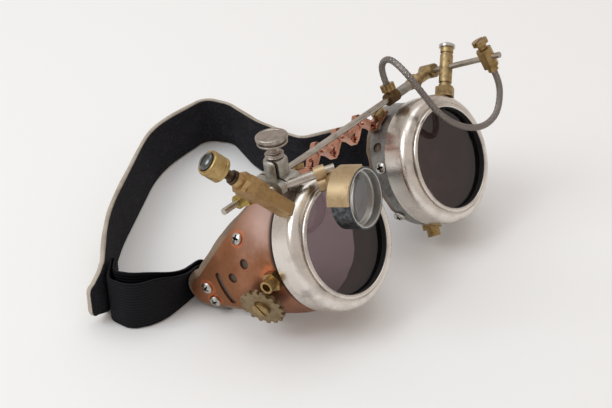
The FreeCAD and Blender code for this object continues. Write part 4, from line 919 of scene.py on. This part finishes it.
class GOGGLES_OT_thumbscrew(bpy.types.Operator):
    """Thumbscrew: two knurled discs with a groove between, a fluted neck and a flange"""

    bl_idname = "goggles.thumbscrew"
    bl_label = "Thumbscrew"

    def execute(self, context):
        shank, flange, neck, low_disc, groove, top_disc = 1.5, 4.0, 2.5, 6.5, 5.2, 6.8
        foot, f0 = THUMB_SEAT - 7.0, THUMB_SEAT + 0.15
        f1 = f0 + 2.0
        n1 = f1 + 3.2
        top = n1 + 4.8
        steps = [
            (0, foot), (shank, foot), (shank, f0), (flange - 0.4, f0), (flange, f0 + 0.4),
            (flange, f0 + 0.7), (flange - 0.3, f0 + 0.9), (flange - 0.3, f0 + 1.1), (flange, f0 + 1.3),
            (flange, f1 - 0.3), (flange - 0.3, f1), (neck, f1), (neck, n1 + 0.6), (3.2, n1 + 0.9),
            (low_disc - 0.4, n1 + 0.9), (low_disc, n1 + 1.2), (low_disc, n1 + 1.8),
            (low_disc - 0.3, n1 + 2.0), (groove, n1 + 2.0), (groove, n1 + 2.9), (top_disc - 0.4, n1 + 2.9),
            (top_disc, n1 + 3.2), (top_disc, top - 0.4), (top_disc - 0.4, top), (5.4, top),
            (5.1, top - 0.3), (0, top - 0.2),
        ]
        angle = turn_of(360)[None, :]
        share = angle / FULL_TURN
        r, h = turned(steps, 0.12, 0.2, angle)
        rim = ramp(r, low_disc - 0.15, low_disc - 0.05)
        fluted = ramp(h, f1 + 0.1, f1 + 0.3) * ramp(h, n1 + 0.5, n1 + 0.3) * (r < neck + 0.4)
        thread = (h < THUMB_SEAT) * (r > 1) * zigzag(h / THREAD_PITCH + share)
        r = r - KNURL_DEPTH * rim * zigzag(KNURLS * share) - THREAD_DEPTH * thread
        r = r - FLUTE_DEPTH * fluted * zigzag(FLUTES * share)
        screw = round_piece("thumb_screw_knurled", r, h, angle, THUMB_FOOT, THUMB_AXIS, 35)
        nickel = worn_metal("worn_nickel", (176, 166, 157), (106, 97, 88), 0.3, 320, 2600, 0.6)
        wear(screw, nickel, "thumb_screw", "nickel", "thumb_screw")
        return {"FINISHED"}


POST_ANGLE = math.radians(38)
VALVE_TOP = ROD[2] / math.cos(POST_ANGLE) + 15.4
VALVE_FOOT = (RIGHT * CUP_HALF, 7.0, 0.0)
VALVE_WAY = (RIGHT * math.sin(POST_ANGLE), 0, math.cos(POST_ANGLE))
STEM_PITCH, STEM_DEPTH = 0.7, 0.28
KNOB_HEIGHT, KNOB_KNURLS, KNOB_PITCH, KNOB_DEPTH = 8.6, 54, 0.62, 0.1
CAP_R, CAP_RISE, SLOT_HALF, SLOT_REACH, SLOT_DEPTH = 3.8, 1.75, 0.42, 2.5, 0.7


class GOGGLES_OT_valve(bpy.types.Operator):
    """Valve stem with a screw thread, a finely knurled knob and a slotted dome"""

    bl_idname = "goggles.valve"
    bl_label = "Valve"

    def execute(self, context):
        angle = turn_of(216)[None, :]
        share = angle / FULL_TURN
        stem_r, collar, knob_r = 2.1, 3.0, 5.4
        top = VALVE_TOP
        low = top + 6.0
        r, h = turned([
            (0, top - 5.0), (stem_r, top - 5.0), (stem_r, top + 0.15), (collar, top + 0.15),
            (collar, top + 1.35), (stem_r, top + 1.35), (stem_r, low), (0, low),
        ], 0.15, 0.08, angle)
        thread = ((h > top + 1.5) & (r > stem_r - 0.3)) * zigzag(h / STEM_PITCH + share)
        stem = r - STEM_DEPTH * thread, h
        top = low + KNOB_HEIGHT
        r, h = turned([
            (0, low), (3.4, low), (3.9, low + 0.3), (4.5, low + 0.3), (knob_r, low + 0.9),
            (knob_r, low + 2.0), (knob_r - 0.25, low + 2.2), (knob_r - 0.25, low + 2.6), (knob_r, low + 2.8),
            (knob_r, top - 0.9), (knob_r - 0.3, top - 0.2), (4.6, top), (4.1, top), (3.9, top - 0.5),
            (0, top - 0.5),
        ], 0.18, 0.12, angle)
        band = ramp(h, low + 2.9, low + 3.1) * ramp(h, top - 1.2, top - 1.4) * (r > knob_r - 0.1)
        one, two = KNOB_KNURLS * share + h / KNOB_PITCH, KNOB_KNURLS * share - h / KNOB_PITCH
        knob = r - KNOB_DEPTH * band * np.maximum(zigzag(one), zigzag(two)), h
        r_top = np.linspace(CAP_R, 0, 40)[:, None]
        rise = top + 0.25 + CAP_RISE * np.sqrt(np.clip(1 - (r_top / CAP_R) ** 2, 0, 1))
        slot = ramp(np.abs(r_top * np.cos(angle)), SLOT_HALF, SLOT_HALF - 0.1)
        slot = slot * ramp(r_top, SLOT_REACH, SLOT_REACH - 0.2)
        cap = stacked([
            (0, top - 0.5), (CAP_R, top - 0.5), (CAP_R, top + 0.2), (r_top, rise - SLOT_DEPTH * slot),
        ], angle)
        dark = worn_metal("stem_brass", (92, 76, 60), (44, 38, 34), 0.42, 300, 2600, 0.8)
        brass = worn_metal("knob_brass", (182, 156, 106), (128, 102, 60), 0.36, 240, 2600, 0.7)
        grey = worn_metal("grey_dome", (104, 106, 104), (58, 58, 58), 0.2, 300, 2600, 0.6)
        for name, form, metal, slot, node in (
            ("valve_stem_thread", stem, dark, "dark_brass", "valve_stem"),
            ("valve_knob_knurled", knob, brass, "brass", "valve_knob"),
            ("valve_cap_slotted", cap, grey, "steel_rod", "valve_cap"),
        ):
            piece = round_piece(name, *form, angle, VALVE_FOOT, VALVE_WAY, 50)
            wear(piece, metal, "valve", slot, node)
        return {"FINISHED"}


# Worn metals: two screen colours, roughness, patches and scratches a metre, tarnish and the nodes they cover
METALS = {
    "bright_plate": (
        (204, 202, 196), (124, 121, 115), 0.26, 500, 3000, 0.6,
        ["left_post_cap", "strap_rivet_low", "strap_rivet_high"],
    ),
    "zinc_sheet": ((152, 152, 149), (96, 96, 95), 0.42, 90, 1800, 0.8, ["left_cup_shell"]),
    "aged_brass": ((174, 148, 102), (112, 86, 48), 0.36, 260, 2600, 0.75, [
        "gear_spacer", "gear_screw", "tube_stub", "low_stub", "hose_nut", "end_fitting", "end_screw",
        "right_chain_screw", "left_chain_screw",
    ]),
    "mottled_brass": ((178, 154, 112), (108, 94, 74), 0.46, 420, 2400, 0.85, ["left_post", "tee_connector"]),
    "dull_brass": ((154, 135, 106), (112, 95, 70), 0.5, 320, 2200, 0.7, ["gear"]),
    "brushed_brass": ((186, 156, 112), (140, 112, 74), 0.44, 200, 3200, 0.7, ["valve_body"]),
    "rolled_brass": ((192, 169, 134), (152, 128, 94), 0.42, 150, 3200, 0.55, ["loupe_holder"]),
    "yellow_brass": ((176, 152, 88), (112, 90, 46), 0.32, 300, 2600, 0.7, ["rod_saddle"]),
    "dark_brass": ((112, 88, 60), (56, 44, 34), 0.42, 240, 2600, 0.8, ["hose_union"]),
    "drawn_steel": (
        (188, 180, 170), (128, 118, 106), 0.32, 160, 3000, 0.6, ["cross_rod", "front_rod", "loupe_arm"],
    ),
    "cast_zinc": ((176, 172, 164), (122, 118, 110), 0.42, 300, 1600, 0.7, ["loupe_clamp", "rod_sleeve"]),
}


class GOGGLES_OT_finishes(bpy.types.Operator):
    """Finishes of the carried-over metal and glass nodes"""

    bl_idname = "goggles.finishes"
    bl_label = "Metal and glass finishes"

    def execute(self, context):
        for name, side in SIDES.items():
            paint(spun_metal(name + "_polished_aluminium", *cup_line(side)), name + "_bezel")
        mauve, dust = linear(123, 102, 106), linear(112, 102, 102)
        paint(glass("smoked_glass", 900, 0.62, 0.05, mauve, dust), "right_lens", "left_lens")
        paint(black_rubber(), "right_gasket", "left_gasket")
        paint(copper_sheet(), "right_cup_shell")
        paint(ring_steel(), "loupe_ring")
        for name, (*look, nodes) in METALS.items():
            paint(worn_metal(name, *look), *nodes)
        chain = worn_metal("copper_plate", (206, 152, 129), (126, 88, 71), 0.22, 160, 1600, 0.5, 0.01)
        paint(chain, *[n for n in NODES if n.startswith("chain_")])
        return {"FINISHED"}


def glass(name, waves, low, rough, colour, dusty=None):
    """Glass with smears or dust at so many waves a metre, which dull it and may grey it."""
    f = Finish(name)
    smear = f.noise(waves, 4, 0.6).step(low, 0.8)
    if dusty:
        colour = f.mix(smear * 0.1, colour, dusty)
    f.set(Base_Color=colour, Roughness=0.01 + smear * rough, Transmission_Weight=1.0, IOR=1.5)
    return f


LOUPE_PLACE = ROD + (27.0 - FRONT_X, -37.5, -18.2)
LOUPE_BACK = unit(np.array([-0.145, 0.971, 0.183]))
# The ring's steel turns from bright to dark between these radii
RING_BRIGHT, RING_DARK = 11.9 * MM, 12.3 * MM
LOUPE_EDGE_R, LOUPE_LIP_R, LOUPE_LOW, LOUPE_HIGH, LOUPE_CROWN = 11.62, 10.62, 3.4, 5.0, 1.1


def ring_steel():
    """Mottled dark steel outside, bright turned steel inside the ring."""
    f = Finish("ring_steel")
    r = f.off_axis(worn(LOUPE_PLACE), worn_way(LOUPE_BACK))
    mottle = f.noise(520, 4, 0.65)
    speck = f.noise(1800, 3, 0.6)
    outside = f.mix(mottle.step(0.4, 0.66), linear(62, 64, 66), linear(104, 106, 108))
    bright = f.mix(speck * 0.4, linear(206, 203, 198), linear(150, 146, 141))
    f.set(Base_Color=f.mix(r.step(RING_BRIGHT, RING_DARK), bright, outside), Metallic=0.95)
    f.set(Roughness=(0.24 + mottle * 0.22 + (speck - 0.5) * 0.12).clamp())
    f.set(Normal=f.bump(mottle * 0.6 + speck * 0.4, 0.14, 0.0005))
    return f


class GOGGLES_OT_loupe_glass(bpy.types.Operator):
    """Loupe lens: a profile of two arcs of a ball and a ground edge, turned round the loupe's axis"""

    bl_idname = "goggles.loupe_glass"
    bl_label = "Loupe lens"

    def execute(self, context):
        angle = turn_of(144)[None, :]

        def rise(r, rim):
            """Height of a cap of a ball over its rim."""
            ball = (rim * rim + LOUPE_CROWN * LOUPE_CROWN) / (2 * LOUPE_CROWN)
            return LOUPE_CROWN - ball + np.sqrt(ball * ball - r * r)

        front = np.linspace(0, LOUPE_EDGE_R, 28)[:, None]
        back = np.linspace(LOUPE_LIP_R, 0, 26)[:, None]
        r, h = stacked([
            (front, LOUPE_LOW - rise(front, LOUPE_EDGE_R)), (LOUPE_EDGE_R, LOUPE_HIGH),
            (back, LOUPE_HIGH + rise(back, LOUPE_LIP_R)),
        ], angle)
        lens = round_piece("loupe_glass", r, h, angle, LOUPE_PLACE, LOUPE_BACK, 40)
        clear = glass("clear_glass", 200, 0.5, 0.04, (0.96, 0.97, 0.97))
        wear(lens, clear, "loupe", "clear_glass", "loupe_lens")
        return {"FINISHED"}


def black_rubber():
    """Black rubber with a grey bloom."""
    f = Finish("black_rubber")
    bloom = f.noise(600, 3)
    f.set(Base_Color=f.mix(bloom, linear(16, 16, 16), linear(40, 40, 40)), Roughness=0.6 + bloom * 0.2)
    return f


# Depth and height of the tube stub on its cup, and the radii between which its heat ring fades, in metres
TUBE_MARK = (20.6, -2.2, 0.0046, 0.0082)


def copper_sheet():
    """Copper sheet: brown skin, a painted pale pink highlight on the top, orange heat rings round fastenings,
    painted shade at the bezel.
    """
    f = Finish("copper_sheet")
    cloud = f.noise(60, 5, 0.6)
    fine = f.noise(600, 4, 0.6)
    scratch = f.noise(1800, 2, 0.5, (1, 0.15, 0.4))
    place, way = cup_line(RIGHT)
    depth = f.along(place, way)
    height = f.along(place, worn_way((0, 0, 1)))
    colour = f.mix(cloud.step(0.4, 0.7), linear(146, 97, 66), linear(168, 116, 88))
    colour = f.mix(fine.step(0.55, 0.8) * 0.4, colour, linear(104, 68, 48))
    # Painted highlight: the top of the shell near the bezel turns pale pink where the light falls.
    pale = (height + (cloud - 0.5) * 0.02).step(0.004, 0.024) * (1 - depth.step(0.02, 0.044))
    colour = f.mix(pale * 0.9, colour, linear(212, 182, 172))
    heat = None
    marks = [(y, z, 0.003, 0.0046) for side, _, y, z, _ in PAN_SCREWS.values() if side == RIGHT]
    for y, z, near, far in marks + [TUBE_MARK]:
        spot = worn(on_cup(RIGHT, 1, y, z)[0])
        ring = 1 - (f.off_point(spot) + (fine - 0.5) * 0.0034).step(near, far)
        heat = ring if heat is None else heat.math("MAXIMUM", ring)
    colour = f.mix(heat * 0.68, colour, linear(216, 122, 80))
    # Painted shade: a dark band on the shell along the bezel's back edge.
    colour = f.mix(1 - depth.step(0.0168, 0.0194), colour, linear(52, 42, 38))
    gloss = 0.36 + fine * 0.18 + (scratch - 0.5) * 0.16
    f.set(Base_Color=colour, Metallic=0.9, Roughness=gloss.clamp())
    f.set(Normal=f.bump(cloud * 0.6 + fine * 0.3 + scratch * 0.2, 0.16, 0.0008))
    return f


FLOOR_HALF, FLOOR_HEIGHT = 3.0, -0.0004
WORLD_COLOUR, WORLD_STRENGTH = (240, 231, 225), 0.72
# Each lamp's place, size and power; all look at one target
LAMPS = {"window": ((-0.9, 0.5, 1.1), 0.8, 8.2), "overhead": ((0.2, 0.1, 1.3), 1.0, 3.9)}
LAMP_TARGET, LAMP_COLOUR = (0, 0, 0.03), (0.91, 1.0, 1.06)
CAMERA_PLACE = np.array([-368.0, -237.2, 302.2])
CAMERA_RIGHT, CAMERA_AHEAD = (0.622, -0.783, 0.0007), (0.6406, 0.5083, -0.5755)
SENSOR_WIDTH = 36


class GOGGLES_OT_stage(bpy.types.Operator):
    """Pale floor, soft light and the camera"""

    bl_idname = "goggles.stage"
    bl_label = "Stage"

    def execute(self, context):
        scene = context.scene
        s = scene.goggles_stage
        side = np.array([-FLOOR_HALF, FLOOR_HALF])
        x, y = np.meshgrid(side, side, indexing="ij")
        points = np.stack([x, y, np.full_like(x, FLOOR_HEIGHT)], axis=-1)
        floor = piece_from("floor", points, grid_faces(2, 2)[:, ::-1])
        f = Finish("floor_paper")
        f.set(Base_Color=tuple(s.floor), Roughness=0.9)
        floor.data.materials.append(f.material)
        world = bpy.data.worlds.new("studio")
        scene.world = world
        world.use_nodes = True
        back = world.node_tree.nodes["Background"]
        back.inputs["Color"].default_value = (*linear(*WORLD_COLOUR), 1)
        back.inputs["Strength"].default_value = WORLD_STRENGTH
        for name, (place, size, power) in LAMPS.items():
            light = bpy.data.lights.new(name, "AREA")
            light.size, light.energy, light.color = size, power, LAMP_COLOUR
            lamp = bpy.data.objects.new(name, light)
            lamp.location = place
            aim = Vector(LAMP_TARGET) - Vector(place)
            lamp.rotation_euler = aim.to_track_quat("-Z", "Y").to_euler()
            scene.collection.objects.link(lamp)
        camera = bpy.data.cameras.new("camera")
        camera.sensor_width = SENSOR_WIDTH
        camera.lens = s.lens
        holder = bpy.data.objects.new("camera", camera)
        ahead = Vector(CAMERA_AHEAD).normalized()
        up = Vector(CAMERA_RIGHT).cross(ahead).normalized()
        right = ahead.cross(up)
        turn = Matrix((right, up, -ahead)).transposed().to_4x4()
        holder.matrix_world = Matrix.Translation(Vector((CAMERA_PLACE + SHIFT) * MM)) @ turn
        scene.collection.objects.link(holder)
        scene.camera = holder
        scene.view_settings.view_transform = "Standard"
        return {"FINISHED"}


class GOGGLES_PT_build(bpy.types.Panel):
    """Lists the steps of the build"""

    bl_label = "Goggles"
    bl_space_type = "VIEW_3D"
    bl_region_type = "UI"
    bl_category = "Goggles"

    def draw(self, context):
        for step in STEPS:
            self.layout.operator(step.bl_idname)
        for name in SETTINGS:
            group = getattr(context.scene, name)
            for key in group.__annotations__:
                self.layout.prop(group, key)


STEPS = (
    GOGGLES_OT_stage, GOGGLES_OT_finishes, GOGGLES_OT_hose, GOGGLES_OT_strap, GOGGLES_OT_elastic,
    GOGGLES_OT_liners, GOGGLES_OT_screws, GOGGLES_OT_thumbscrew, GOGGLES_OT_valve, GOGGLES_OT_loupe_glass,
)
SETTINGS = {"goggles_cord": CordSettings, "goggles_strap": StrapSettings, "goggles_stage": StageSettings}
CLASSES = (*SETTINGS.values(), *STEPS, GOGGLES_PT_build)


def register():
    for kind in CLASSES:
        bpy.utils.register_class(kind)
    for name, group in SETTINGS.items():
        setattr(bpy.types.Scene, name, bpy.props.PointerProperty(type=group))


def unregister():
    for name in SETTINGS:
        delattr(bpy.types.Scene, name)
    for kind in reversed(CLASSES):
        bpy.utils.unregister_class(kind)


def main():
    register()
    for step in STEPS:
        family, name = step.bl_idname.split(".")
        getattr(getattr(bpy.ops, family), name)()


if __name__ == "__main__":
    main()
